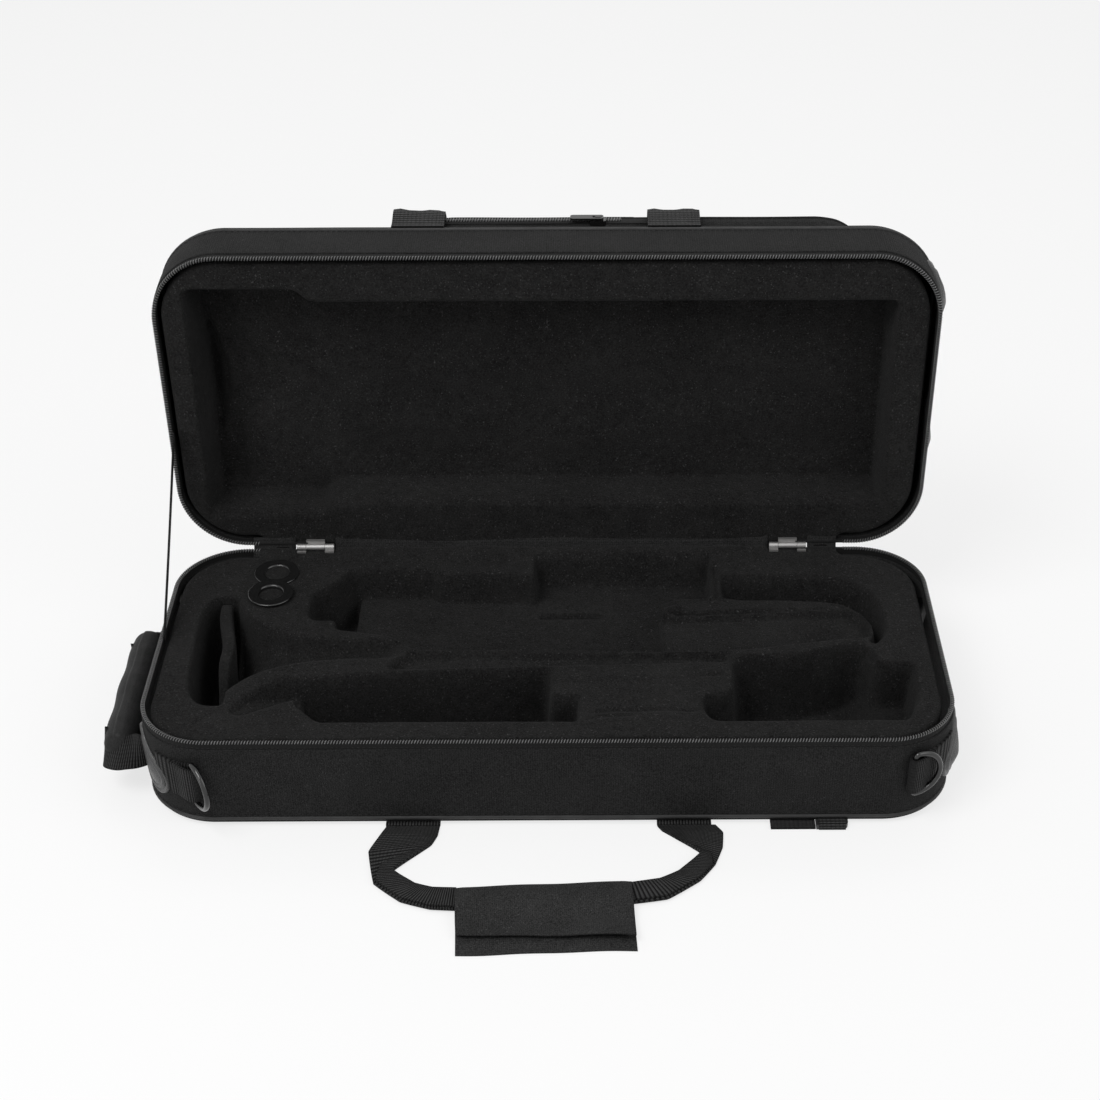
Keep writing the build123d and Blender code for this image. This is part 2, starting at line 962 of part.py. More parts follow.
def binding():
    """Cloth over the outside of the hinge line, folded where the lid is open."""
    top_y, top_z = open_point(half_depth, lid_edge)
    path = FilletPolyline(
        (half_depth + binding_thickness / 2, base_edge - 6),
        (half_depth + binding_thickness / 2, base_edge),
        (half_depth + knuckle_diameter, base_edge + 1.2),
        (top_y - 2, top_z - binding_gap - binding_thickness / 2),
        (top_y + 5, top_z - binding_gap - binding_thickness / 2),
        radius=1.2,
    )
    return extrude(Plane.YZ * trace(path, binding_thickness), binding_length / 2, both=True)


def pocket():
    """A low box of cloth on the lid's outer face, closed by its zip."""
    width = pocket_right - pocket_left
    depth = pocket_back - pocket_front
    low = lid_top - lid_edge_radius
    face = Pos(
        (pocket_left + pocket_right) / 2, (pocket_front + pocket_back) / 2, low
    ) * RectangleRounded(width, depth, pocket_corner)
    top = lid_top + pocket_thickness
    body = extrude(face, top - low)
    body = fillet(body.edges().group_by(Axis.Z)[-1], 3)
    return body - closed_lid_form()


def closed_lid_form():
    """The whole outside of the closed lid."""
    form = slab(0, lid_edge, lid_top)
    return fillet(form.edges().group_by(Axis.Z)[-1], lid_edge_radius)


def pocket_chain():
    """The pocket zip's teeth, in the front of the pocket."""
    height = lid_top + pocket_zip_height
    return block(
        (pocket_zip_left, pocket_zip_right),
        (pocket_front - chain_height, pocket_front),
        (height - chain_width / 2, height + chain_width / 2),
    )


def slider(centre, along, out, eye_along):
    """A zip slider's body and the eye that its pull turns on."""
    face = Plane(origin=centre, x_dir=along, z_dir=out)
    body = extrude(
        face * RectangleRounded(slider_length, slider_width, slider_corner), slider_height
    )
    top = Plane(origin=centre + out * slider_height, x_dir=eye_along, z_dir=out)
    return body + extrude(top * Rectangle(eye_length, eye_width), eye_height)


def pull_hinge(centre, out, eye_along):
    """The middle of the pull's square crossbar: just past the eye, above the slider."""
    back = eye_length / 2 + pull_clearance + pull_thickness / 2
    lift = slider_height + pull_clearance + pull_thickness / 2
    return centre + out * lift - Vector(*eye_along) * back


def pull(hinge, along, out):
    """A pull tab lying on its slider, with the slider's eye through its hole."""
    bar = pull_thickness / 2
    face = Plane(origin=hinge - out * bar, x_dir=along, z_dir=out)
    hole = eye_length + 4 * pull_clearance
    tab = Pos(pull_length / 2 - bar, 0) * RectangleRounded(pull_length, pull_width, pull_corner)
    tab -= Pos(bar + hole / 2, 0) * Rectangle(hole, eye_width + 2 * slider_gap)
    return extrude(face * tab, pull_thickness)


def base_shell(cutters):
    """The base's skin, with room for what is let into it."""
    form = slab(0, 0, base_edge)
    form = fillet(form.edges().group_by(Axis.Z)[0], base_edge_radius)
    form -= base_space() + slab(skin, base_edge - base_edge_radius, base_edge + 1)
    for cutter in cutters:
        form -= cutter
    return form


def lid_shell(cutters):
    form = closed_lid_form()
    form -= lid_space() + slab(skin, lid_edge - 1, lid_edge + base_edge_radius)
    for cutter in cutters:
        form -= cutter
    return form


def buckle_room():
    """A recess in the underside that the buckle lies in."""
    low = strap_end
    return block(
        (low, low + buckle_length + 2 * fold_gap),
        (front - strap_out, front - strap_out + buckle_width + fold_gap),
        (-1, buckle_thickness + fold_gap / 2),
    )


def lid_anchor_strips():
    """Webbing from the lid's top panel up the front of the pocket."""
    strips = []
    top = lid_top + pocket_thickness + handle_hinge_clear - webbing_thickness / 2
    top -= handle_hinge_gap
    for side in (-1, 1):
        x = side * handle_spacing / 2
        strip = block(
            (x - handle_webbing_width / 2, x + handle_webbing_width / 2),
            (pocket_front - webbing_thickness, pocket_front),
            (lid_top - lid_edge_radius, top),
        )
        strips.append(strip - closed_lid_form())
    return strips


# Base
base_tape, base_teeth = zip_half(
    base_edge - tape_sewn_depth, base_height - teeth_height, base_height - teeth_height, base_height
)
base_cord = piping(base_piping_height)
anchors = handle_anchor_strips()
strap = underside_strap()
buckle = strap_buckle()
sides = (("left", -1), ("right", 1))
base_rivets = {name: rivets(side * hinge_spacing / 2, True) for name, side in sides}
lid_rivets = {name: rivets(side * hinge_spacing / 2, False) for name, side in sides}
let_in = [base_tape, base_cord, strap, buckle_room(), *anchors]

save("base_shell", base_shell(let_in + base_rivets["left"] + base_rivets["right"]))
save("base_lining", base_lining())
save("base_piping", base_cord)
save("base_zip_tape", base_tape)
save("base_zip_teeth", base_teeth)
save("base_handle_anchor", *anchors)
save("underside_strap", strap)
save("strap_buckle", buckle)
save("bell_rim_strip", rim_strip())
save("mouthpiece_holder_back", mouthpiece_holder(0))
save("mouthpiece_holder_front", mouthpiece_holder(1))
save("lid_stay", stay_ribbon())
save("hinge_binding", binding())

# Hinges
for name, side in sides:
    centre = side * hinge_spacing / 2
    pin = Pos(centre - hinge_width / 2, hinge_y, hinge_z) * extrude(
        Plane.YZ * Circle(pin_diameter / 2), hinge_width
    )
    save(f"hinge_base_leaf_{name}", hinge_leaf(centre, True))
    save(f"hinge_lid_leaf_{name}", opened(hinge_leaf(centre, False)))
    save(f"hinge_pin_{name}", pin)
save("hinge_rivets_base", *base_rivets["left"], *base_rivets["right"])
save("hinge_rivets_lid", *[opened(rivet) for pair in lid_rivets.values() for rivet in pair])

# Ends of the case
for end_name, end in sides:
    for back_name, back in (("front", -1), ("back", 1)):
        save(f"{end_name}_patch_{back_name}", corner_patch(end, back))
save("lid_patch_front", opened(lid_patch(lid_patch_front)))
save("lid_patch_back", opened(lid_patch(lid_patch_back)))
save("end_handle_grip", end_grip())
save("end_handle_webbing", *end_webbing())
for name, side in sides:
    save(f"ring_webbing_{name}", corner_strap(side))
    save(f"strap_ring_{name}", strap_ring(side))

# Carrying handles
for name, place in (("base", base_handle_place()), ("lid", lid_handle_place())):
    save(f"{name}_handle_webbing", place * handle_webbing())
    save(f"{name}_handle_wrap", place * handle_wrap())

# Lid
lid_tape, lid_teeth = zip_half(
    lid_rim + teeth_height, lid_edge + tape_sewn_depth, lid_rim, lid_rim + teeth_height
)
lid_cord = piping(hinge_z + lid_piping_height)
let_in = [lid_tape, lid_cord, *lid_rivets["left"], *lid_rivets["right"]]
chain = pocket_chain()
save("lid_shell", opened(lid_shell(let_in)))
save("lid_lining", opened(lid_lining()))
save("lid_piping", opened(lid_cord))
save("lid_zip_tape", opened(lid_tape))
save("lid_zip_teeth", opened(lid_teeth))
save("lid_handle_anchor", *[opened(strip) for strip in lid_anchor_strips()])
save("lid_pocket", opened(pocket()))
save("pocket_zip_teeth", opened(chain))
out = Vector(0, -1, 0)
centre = Vector(slider_x, pocket_front - chain_height - slider_gap, lid_top + pocket_zip_height)
save("pocket_slider", opened(slider(centre, (-1, 0, 0), out, (-1, 0, 0))))
save("pocket_pull", opened(pull(pull_hinge(centre, out, (-1, 0, 0)), (-1, 0, 0), out)))
out = Vector(0, 1, 0)
for name, side in sides:
    centre = Vector(side * main_slider_x, half_depth + slider_gap, hinge_z - main_slider_drop)
    save(f"zip_slider_{name}", slider(centre, (1, 0, 0), out, (0, 0, -1)))
    save(f"zip_pull_{name}", pull(pull_hinge(centre, out, (0, 0, -1)), (0, 0, -1), out))
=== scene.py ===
import json
from math import asin, atan2, cos, pi, radians, sin, tan

import bmesh
import bpy
import numpy as np
from mathutils import Matrix, Vector

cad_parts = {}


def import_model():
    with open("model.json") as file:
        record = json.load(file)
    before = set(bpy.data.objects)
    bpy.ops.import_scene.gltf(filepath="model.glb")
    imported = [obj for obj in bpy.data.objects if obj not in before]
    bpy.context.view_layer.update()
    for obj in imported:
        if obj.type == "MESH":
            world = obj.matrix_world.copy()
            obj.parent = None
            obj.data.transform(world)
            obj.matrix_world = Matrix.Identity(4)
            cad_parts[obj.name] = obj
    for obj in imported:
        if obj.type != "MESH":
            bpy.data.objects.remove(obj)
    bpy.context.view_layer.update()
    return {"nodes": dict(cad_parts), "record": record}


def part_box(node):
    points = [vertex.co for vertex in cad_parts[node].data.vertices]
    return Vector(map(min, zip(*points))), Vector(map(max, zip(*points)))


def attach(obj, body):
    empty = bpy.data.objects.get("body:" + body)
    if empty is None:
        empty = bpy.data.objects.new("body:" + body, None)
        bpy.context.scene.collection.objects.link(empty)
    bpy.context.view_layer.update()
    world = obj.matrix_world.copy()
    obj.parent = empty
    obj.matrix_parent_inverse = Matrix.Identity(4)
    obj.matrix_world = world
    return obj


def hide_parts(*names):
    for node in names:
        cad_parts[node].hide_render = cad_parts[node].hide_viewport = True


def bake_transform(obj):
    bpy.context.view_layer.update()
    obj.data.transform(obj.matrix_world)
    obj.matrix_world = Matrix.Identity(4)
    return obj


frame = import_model()

# Shapes are worked out in millimetres, in the frame's own axes, and scaled once by piece().
MM = 0.001


def box_mm(node):
    low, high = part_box(node)
    return low / MM, high / MM


joints = {joint["name"]: joint for joint in frame["record"]["behaviour"]["joints"]}
shell_low, shell_high = box_mm("base_shell")
teeth_low, teeth_high = box_mm("base_zip_teeth")

# Case, from the frame
length = shell_high.x - shell_low.x
depth = shell_high.y - shell_low.y
base_edge = shell_high.z
base_rim = teeth_high.z
teeth_foot = teeth_low.z
lining_top = box_mm("base_lining")[1].z
hinge_y = joints["lid"]["pos_m"][1] / MM
hinge_z = joints["lid"]["pos_m"][2] / MM
lid_angle = radians(joints["lid"]["range_deg"][1])
corner_radius = 50.0
floor_edge_radius = 6.0
lid_edge_radius = 13.5
rolled_edge = 1.1
lid_height = 62.0
lid_top = hinge_z + lid_height
lid_foot = 2 * hinge_z - base_edge
lid_rim = 2 * hinge_z - base_rim
lid_lining_face = 2 * hinge_z - lining_top
front = -depth / 2

# Zip
coil_pitch = 2.0
coil_wire = 0.33
coil_out = 1.3
coil_up = 0.95
coil_core = 0.62
tape_inset = 1.2
tape_thickness = 1.2
zip_end_x = 222.0
tape_end_x = 186.0

# Linings
lip_inset = 6.2
lip_round = 3.0
lip_drop = 8.0
grid_step = 1.25
bell_radius = 62.5
bell_y = -7.0
bell_z = 67.5
bell_left = -251.0
bell_right = -228.0
bell_tube = 9.0
bell_flare = 24.0

# Webbing and cloth
webbing = 1.7
handle_width = 37.5
ring_strap_width = 28.0
end_strap_width = 25.0
stay_width = 12.0
stay_thickness = 0.8
wrap_thickness = 1.1
inner_cloth_thickness = 0.8

lid_open = (
    Matrix.Translation((0, hinge_y, hinge_z))
    @ Matrix.Rotation(-lid_angle, 4, "X")
    @ Matrix.Translation((0, -hinge_y, -hinge_z))
)


# Finishes

class Value:
    """A number in a material's nodes, which takes part in Python expressions."""

    def __init__(self, finish, socket):
        self.finish = finish
        self.socket = socket

    def math(self, operation, *others):
        node = self.finish.tree.nodes.new("ShaderNodeMath")
        node.operation = operation
        for socket, value in zip(node.inputs, (self, *others)):
            self.finish.put(socket, value)
        return Value(self.finish, node.outputs[0])

    def __add__(self, other):
        return self.math("ADD", other)

    def __sub__(self, other):
        return self.math("SUBTRACT", other)

    def __rsub__(self, other):
        return (self * -1) + other

    def __mul__(self, other):
        return self.math("MULTIPLY", other)

    __radd__ = __add__

    def limited(self):
        return self.math("MINIMUM", 1.0).math("MAXIMUM", 0.0)

    def wave(self, pitch):
        """Round threads side by side: 0 between them and 1 on top of each."""
        return self.swing(pitch).math("ABSOLUTE")

    def swing(self, pitch):
        return (self * (pi / pitch)).math("SINE")


class Nodes:
    """The nodes of a material or of the world, all made by one method."""

    def __init__(self, owner):
        owner.use_nodes = True
        self.tree = owner.node_tree

    def put(self, socket, value):
        if isinstance(value, Value):
            self.tree.links.new(value.socket, socket)
        else:
            socket.default_value = value

    def node(self, kind, sockets=None, output=0, **settings):
        made = self.tree.nodes.new(kind)
        for name, value in settings.items():
            setattr(made, name, value)
        for name, value in (sockets or {}).items():
            self.put(made.inputs[name], value)
        return Value(self, made.outputs[output])

    def seen(self):
        """1 where the camera sees a surface, straight or in a reflection or through glass."""
        rays = [self.node("ShaderNodeLightPath", output=f"Is {kind} Ray")
                for kind in ("Camera", "Glossy", "Transmission")]
        return (rays[0] + rays[1] + rays[2]).limited()


class Finish(Nodes):
    """A material and the few calls that its recipes need."""

    def __init__(self, name, uv=True, **fixed):
        self.material = bpy.data.materials.new(name)
        super().__init__(self.material)
        self.shader = self.tree.nodes["Principled BSDF"]
        for socket, value in fixed.items():
            self.shader.inputs[socket.replace("_", " ")].default_value = value
        self.place = self.stretched(self.node("ShaderNodeTexCoord", output="Object"), [1 / MM] * 3)
        across = self.node("ShaderNodeUVMap", uv_map="UVMap") if uv else self.place
        split = self.node("ShaderNodeSeparateXYZ", {0: across}).socket.node
        self.x, self.y, self.z = (Value(self, socket) for socket in split.outputs)

    def noise(self, size, detail=2.0, rough=0.5, gain=1.0):
        """Random patches about size millimetres across, from 0 to 1, sharper with more gain."""
        patches = self.node(
            "ShaderNodeTexNoise",
            {"Vector": self.place, "Scale": 1 / size, "Detail": detail, "Roughness": rough},
        )
        return patches if gain == 1.0 else ((patches - 0.5) * gain + 0.5).limited()

    def specks(self, size, least, gain):
        """Small scattered spots: 1 where a noise is well over least, 0 elsewhere."""
        return ((self.noise(size, 2, 0.7) - least) * gain).limited()

    def stretched(self, place, scale):
        return self.node("ShaderNodeVectorMath", {0: place, 1: scale}, operation="MULTIPLY")

    def weave(self, pitch):
        """A plain weave: 1 on top of a thread, 0 in the holes between."""
        warp, weft = self.y.wave(pitch), self.x.wave(pitch)
        over = (self.x.swing(pitch) * self.y.swing(pitch) * 3 + 0.5).limited()
        return over * weft + (1 - over) * warp

    def between(self, factor, low, high):
        """Mixes two colours. One number by itself is a grey."""
        low, high = (
            (value, value, value, 1.0) if isinstance(value, float) else value for value in (low, high)
        )
        return self.node(
            "ShaderNodeMix", {"Factor": factor, 6: low, 7: high}, output=2, data_type="RGBA",
            clamp_factor=True,
        )

    def finished(self, colour, roughness, height=None, strength=1.0, distance=1.0):
        """Joins up what varies over the surface. Bumps are as high as distance, in millimetres."""
        self.put(self.shader.inputs["Base Color"], colour)
        self.put(self.shader.inputs["Roughness"], roughness.limited())
        if height is not None:
            sockets = {"Height": height, "Strength": strength, "Distance": distance * MM}
            self.put(self.shader.inputs["Normal"], self.node("ShaderNodeBump", sockets))
        return self.material


def ballistic_cloth(name="ballistic_cloth", pitch=1.6, dark=0.003, pale=0.03):
    made = Finish(name, Specular_IOR_Level=0.05, Sheen_Weight=0.01)
    weave = made.weave(pitch)
    patches = made.noise(30, 3, gain=2.5)
    smudges = made.noise(4.5, 4, 0.6, gain=2.0)
    fibres = made.noise(0.85, 3, 0.75, gain=5)
    # The weave's height darkens the colour in the holes between the threads, as painted shade; patches,
    # smudges and fibres are random tone.
    shade = weave * 0.28 + patches * 0.14 + smudges * 0.07 + fibres * 0.62 - 0.08
    cloth = made.between(shade, dark, pale)
    linty = made.between(made.specks(1.2, 0.65, 16) * 0.55, cloth, pale * 2.6)
    rough = 0.8 - weave * 0.16 + fibres * 0.08
    return made.finished(linty, rough, weave + fibres * 0.35, 0.6, 0.25)


def plush():
    made = Finish("plush", False, Specular_IOR_Level=0.04, Sheen_Weight=0.03, Sheen_Roughness=0.6)
    nap = made.noise(1.3, 4, 0.75, gain=4.5)
    brushed = made.noise(7, 4, 0.6, gain=2.5)
    pressed = made.noise(48, 2, gain=2.2)
    shade = nap * 0.55 + brushed * 0.25 + pressed * 0.2
    pile = made.between(shade, (0.00202, 0.002, 0.00198, 1.0), (0.023735, 0.0235, 0.023265, 1.0))
    linty = made.between(made.specks(1.5, 0.64, 16) * 0.7, pile, 0.075)
    return made.finished(linty, 0.9 + nap * 0.1, nap + brushed * 0.6, 0.7, 0.4)


def ribbed_webbing(name="webbing", uv=True, rib=2.1, pale=0.05):
    made = Finish(name, uv, Specular_IOR_Level=0.12, Sheen_Weight=0.01)
    ribs = made.x.wave(rib)
    warp = made.y.wave(1.3)
    fibres = made.noise(0.7, 3, gain=2.5)
    rubbed = made.noise(9, 3, gain=2.5)
    height = ribs * 0.75 + warp * ribs * 0.35
    # The colour follows the ribs' height: painted shade in the gaps between the ribs and painted light on
    # their tops, with fibres and rubbed wear as random tone.
    shade = height * height * 1.15 + fibres * 0.2 + rubbed * 0.2 - 0.28
    rough = 0.74 - ribs * 0.18 + fibres * 0.1
    return made.finished(made.between(shade, 0.0015, pale), rough, height + fibres * 0.15, 1.0, 0.8)


def zip_tape_cloth():
    made = Finish("zip_tape", Specular_IOR_Level=0.15)
    herringbone = (made.x + made.y * 0.8).wave(1.0)
    # The colour follows the herringbone's height: painted shade in its grooves, with random tone from the
    # noise.
    shade = herringbone * 0.6 + made.noise(0.6, 2, gain=2.5) * 0.4
    return made.finished(
        made.between(shade, 0.003, 0.014), 0.82 - herringbone * 0.1, herringbone, 0.5, 0.2
    )


def leatherette(name="leatherette", pale=0.036, rough=0.36, shine=0.65):
    made = Finish(name, Specular_IOR_Level=shine, Coat_Weight=0.05)
    grain = made.node(
        "ShaderNodeTexVoronoi", {"Vector": made.place, "Scale": 1 / 1.3}, feature="DISTANCE_TO_EDGE"
    )
    pores = made.noise(0.6, 3)
    creases = made.noise(11, 4, 0.6)
    skin = (grain * 5).limited()
    worn = (creases * 1.8 - 0.7).limited()
    colour = made.between(skin * 0.6 + worn * 0.4, pale / 5, pale)
    rough = rough - worn * 0.14 - skin * 0.06 + pores * 0.1
    return made.finished(colour, rough, skin + creases * 0.8 + pores * 0.2, 0.55, 0.3)


def nylon_coil():
    made = Finish("nylon_coil", False, Specular_IOR_Level=0.5)
    dust = made.noise(3.0, 3, gain=2.0)
    return made.finished(made.between(dust, 0.09, 0.17), 0.26 + dust * 0.2)


def stitching():
    made = Finish("stitching", False, Specular_IOR_Level=0.3, Sheen_Weight=0.04)
    twist = (made.x + made.y + made.z).wave(0.45)
    # The colour follows the twist: painted shade in the grooves between the thread's plies.
    return made.finished(made.between(twist, 0.002, 0.011), 0.7 + twist * 0.1, twist, 0.5, 0.12)


def piping_cloth():
    made = Finish("piping_cloth", False, Specular_IOR_Level=0.3, Sheen_Weight=0.02)
    threads = (made.x + made.y + made.z * 1.6).wave(0.8)
    rubbed = made.noise(17, 3, gain=2.0)
    # Darker between the threads as painted shade; rubbed adds random lighter wear.
    colour = made.between(threads * 0.5 + rubbed * 0.5, 0.008, 0.034)
    return made.finished(colour, 0.66 - rubbed * 0.14, threads, 0.4, 0.15)


def black_metal(name="black_metal", metallic=0.25, dark=0.006, pale=0.07):
    made = Finish(name, False, Specular_IOR_Level=0.8, Metallic=metallic)
    dimples = made.noise(0.8, 3)
    rubbed = ((made.noise(5, 4, 0.7) - 0.64) * 9).limited()
    rough = 0.13 + dimples * 0.08 + rubbed * 0.15
    return made.finished(made.between(rubbed, dark, pale), rough, dimples, 0.2, 0.05)


def hinge_steel():
    made = Finish("hinge_steel", False, Metallic=0.85)
    along = made.stretched(made.place, (0.1, 2.5, 2.5))
    drawn = made.node("ShaderNodeTexNoise", {"Vector": along, "Scale": 1.0, "Detail": 3.0})
    colour = made.between(
        made.noise(6, 3), (0.2652, 0.26, 0.2548, 1.0), (0.4242, 0.42, 0.4158, 1.0)
    )
    return made.finished(colour, 0.36 + drawn * 0.25, drawn, 0.25, 0.06)


def moulded_plastic(name, level, rough, texture):
    made = Finish(name, False, Specular_IOR_Level=0.5)
    handled = made.noise(8, 3)
    colour = made.between(handled, level * 0.8, level * 1.3)
    return made.finished(colour, rough + handled * 0.12, made.noise(0.5, 2), texture, 0.06)


cloth = ballistic_cloth()
wrap_cloth = ballistic_cloth("wrap_cloth", 1.3, 0.004, 0.05)
lining_plush = plush()
strap = ribbed_webbing()
ring_webbing = ribbed_webbing("ring_webbing", True, 1.6, 0.032)
strap_flat = ribbed_webbing("webbing_flat", False)
tape_cloth = zip_tape_cloth()
hide = leatherette()
roll_hide = leatherette("roll_leatherette", 0.011, 0.7, 0.26)
coil = nylon_coil()
thread = stitching()
cord_cloth = piping_cloth()
painted = black_metal()
slider_metal = black_metal("slider_metal", 0.85, 0.05, 0.4)
steel = hinge_steel()
gloss = moulded_plastic("glossy_plastic", 0.010, 0.10, 0.02)
satin = moulded_plastic("satin_plastic", 0.020, 0.38, 0.25)


# Shapes

def surface(place, columns, rows, size, closed=False):
    """A grid laid on a formula. place turns u and v, from 0 to 1, into rows of x, y, z."""
    bm = bmesh.new()
    bmesh.ops.create_grid(bm, x_segments=columns, y_segments=rows, size=0.5)
    uv = bm.loops.layers.uv.new("UVMap")
    for face in bm.faces:
        for loop in face.loops:
            at = loop.vert.co
            loop[uv].uv = ((at.x + 0.5) * size[0], (at.y + 0.5) * size[1])
    at = np.array([vert.co for vert in bm.verts])
    for vert, point in zip(bm.verts, place(at[:, 0] + 0.5, at[:, 1] + 0.5)):
        vert.co = point
    if closed:
        bmesh.ops.remove_doubles(bm, verts=bm.verts, dist=0.01)
    return bm


def piece(name, bm, finish, body=None, replaces=(), turn=None, flip=False):
    """Turns a shape in millimetres into a finished object that rides on a body."""
    if turn is not None:
        bmesh.ops.transform(bm, matrix=turn, verts=bm.verts)
    bmesh.ops.transform(bm, matrix=Matrix.Scale(MM, 4), verts=bm.verts)
    if flip:
        bmesh.ops.reverse_faces(bm, faces=bm.faces)
    mesh = bpy.data.meshes.new(name)
    bm.to_mesh(mesh)
    bm.free()
    mesh.shade_smooth()
    made = bpy.data.objects.new(name, mesh)
    bpy.context.scene.collection.objects.link(made)
    mesh.materials.append(finish)
    if body:
        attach(made, body)
    if replaces:
        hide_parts(*replaces)
    return made


def joined(*meshes):
    """Several shapes as one."""
    whole = bmesh.new()
    whole.loops.layers.uv.new("UVMap")
    for bm in meshes:
        part = bpy.data.meshes.new("part")
        bm.to_mesh(part)
        bm.free()
        whole.from_mesh(part)
        bpy.data.meshes.remove(part)
    return whole


def mirrored(bm, axis=(1, 0, 0)):
    """A copy on the other side, with its faces still outwards."""
    copy = bm.copy()
    bmesh.ops.transform(copy, matrix=Matrix.Scale(-1, 4, axis), verts=copy.verts)
    bmesh.ops.reverse_faces(copy, faces=copy.faces)
    return copy


def sealed(bm):
    """Fills a shape's open ends and turns its faces outwards."""
    bmesh.ops.holes_fill(bm, edges=[edge for edge in bm.edges if edge.is_boundary], sides=0)
    bmesh.ops.recalc_face_normals(bm, faces=bm.faces)
    return bm


def ripple(x, y, size, seed=0):
    """Soft waves about size across, between -1 and 1, the same on every run."""
    total = 0
    for turn in range(5):
        angle = 2.4 * turn + seed
        wide = size * (1 + 0.37 * turn)
        total = total + np.sin((x * cos(angle) + y * sin(angle)) * 2 * pi / wide + 1.7 * turn + seed)
    return total / 5


def smooth(t):
    t = np.clip(t, 0, 1)
    return t * t * (3 - 2 * t)


def span(x, start, stop, rise, fall):
    """1 between start and stop and 0 outside, with soft ends of lengths rise and fall."""
    return smooth((x - start) / rise) * smooth((stop - x) / fall)


def peak(t):
    """1 at t = 0, falling off on both sides."""
    return np.exp(-(t**2))


def arc(radius, x, y, start, end, count):
    """Points on a circle round x and y, from one angle to another."""
    return [(x + radius * cos(a), y + radius * sin(a)) for a in np.linspace(start, end, count)]


def spline(points, t):
    """A smooth curve through points, at places t from 0 to 1."""
    points = np.array(points, float)
    ends = np.vstack([2 * points[0] - points[1], points, 2 * points[-1] - points[-2]])
    at = np.clip(np.asarray(t, float), 0, 1) * (len(points) - 1)
    step = np.minimum(at.astype(int), len(points) - 2)
    s = (at - step)[:, None]
    a, b, c, d = (ends[step + i] for i in range(4))
    return 0.5 * (
        2 * b + (c - a) * s + (2 * a - 5 * b + 4 * c - d) * s**2 + (3 * b - a - 3 * c + d) * s**3
    )


def unit(rows):
    """Directions with a length of 1."""
    return rows / np.linalg.norm(rows, axis=1)[:, None]


def run_along(points):
    """How far along a line each of its points lies."""
    return np.concatenate([[0], np.cumsum(np.linalg.norm(np.diff(points, axis=0), axis=1))])


def points_at(at, run, points):
    """Places on a line with straight sides, where run says how far along its own points lie."""
    return np.column_stack([np.interp(at, run, column) for column in np.transpose(points)])


def corners_at(points, t):
    """A line with straight sides through points, at places t from 0 to 1."""
    return points_at(t * (len(points) - 1), range(len(points)), points)


class Rim:
    """A rectangle with round corners, measured along its edge from the middle of its front."""

    def __init__(self, length, depth, radius, centre=(0, 0)):
        self.half_x, self.half_y, self.radius, self.centre = length / 2, depth / 2, radius, centre
        side_x, side_y, turn = length - 2 * radius, depth - 2 * radius, pi * radius / 2
        self.stops = np.cumsum([0, side_x / 2, turn, side_y, turn, side_x, turn, side_y, turn, side_x / 2])
        self.total = self.stops[-1]

    def at(self, s, inset=0.0):
        """Points and outward directions at places s along the edge, further in by inset."""
        s = np.mod(s, self.total)
        reach = np.maximum(self.radius, inset)
        small = np.maximum(self.radius - inset, 0)
        part = np.clip(np.searchsorted(self.stops, s, side="right") - 1, 0, 8)
        share = (s - self.stops[part]) / (self.stops[part + 1] - self.stops[part])
        side, turning = part // 2, part % 2
        corners = np.array([(0, 1, 1, -1, -1, 0), (-1, -1, 1, 1, -1, -1)])
        x, y = (1 - share) * corners[:, side + turning] + share * corners[:, side + 1]
        angle = (side + turning * share - 1) * pi / 2
        nx, ny = np.cos(angle), np.sin(angle)
        x = x * (self.half_x - reach) + small * nx + self.centre[0]
        y = y * (self.half_y - reach) + small * ny + self.centre[1]
        return x, y, nx, ny

    def ring(self, profile, columns, start=0.0, end=None, bulge=None):
        """A wall that follows the edge: profile lists inset and height, from one edge to the other."""
        size = ((self.total if end is None else end) - start, run_along(profile)[-1])

        def place(u, v):
            inset, height = corners_at(profile, v).T
            s = start + u * size[0]
            if bulge is not None:
                inset = inset - bulge(s, height) * np.clip(1 - inset / self.radius, 0, 1)
            x, y, _, _ = self.at(s, inset)
            return np.column_stack([x, y, height])

        return surface(place, columns, len(profile) - 1, size, size[0] >= self.total)


rim = Rim(length, depth, corner_radius)
front_corner = rim.stops[1]
back_middle = rim.total / 2


def ribbon(path, across, width, thickness=webbing, columns=60):
    """A strap along a path of points, flat across, with round edges."""
    def place(u, v):
        ahead = unit(spline(path, np.minimum(u + 0.002, 1)) - spline(path, np.maximum(u - 0.002, 0)))
        side = unit(spline(across, u))
        up = unit(np.cross(side, ahead))
        angle = v * 2 * pi
        flat = np.clip(np.cos(angle) * 1.5, -1, 1) * (width / 2 - 0.25 * thickness)
        flat = flat + 0.25 * thickness * np.cos(angle)
        rise = np.clip(np.sin(angle) * 2.5, -1, 1) * thickness / 2
        return spline(path, u) + side * flat[:, None] + up * rise[:, None]

    run = run_along(spline(path, np.linspace(0, 1, 100)))[-1]
    bm = surface(place, columns, 24, (run, 2 * width), True)
    bmesh.ops.recalc_face_normals(bm, faces=bm.faces)
    bmesh.ops.holes_fill(bm, edges=[edge for edge in bm.edges if edge.is_boundary], sides=0)
    return bm


def tube(points, radius, sides, up):
    """A round wire along points. up gives a direction beside the wire at each of them."""
    ahead = unit(np.gradient(points, axis=0))
    side = unit(np.cross(ahead, up))
    over = np.cross(side, ahead)

    def place(u, v):
        at = np.rint(u * (len(points) - 1)).astype(int)
        across, rise = radius * np.cos(-v * 2 * pi)[:, None], radius * np.sin(-v * 2 * pi)[:, None]
        return points[at] + across * side[at] + rise * over[at]

    return surface(place, len(points) - 1, sides, (run_along(points)[-1], 2 * pi * radius), True)


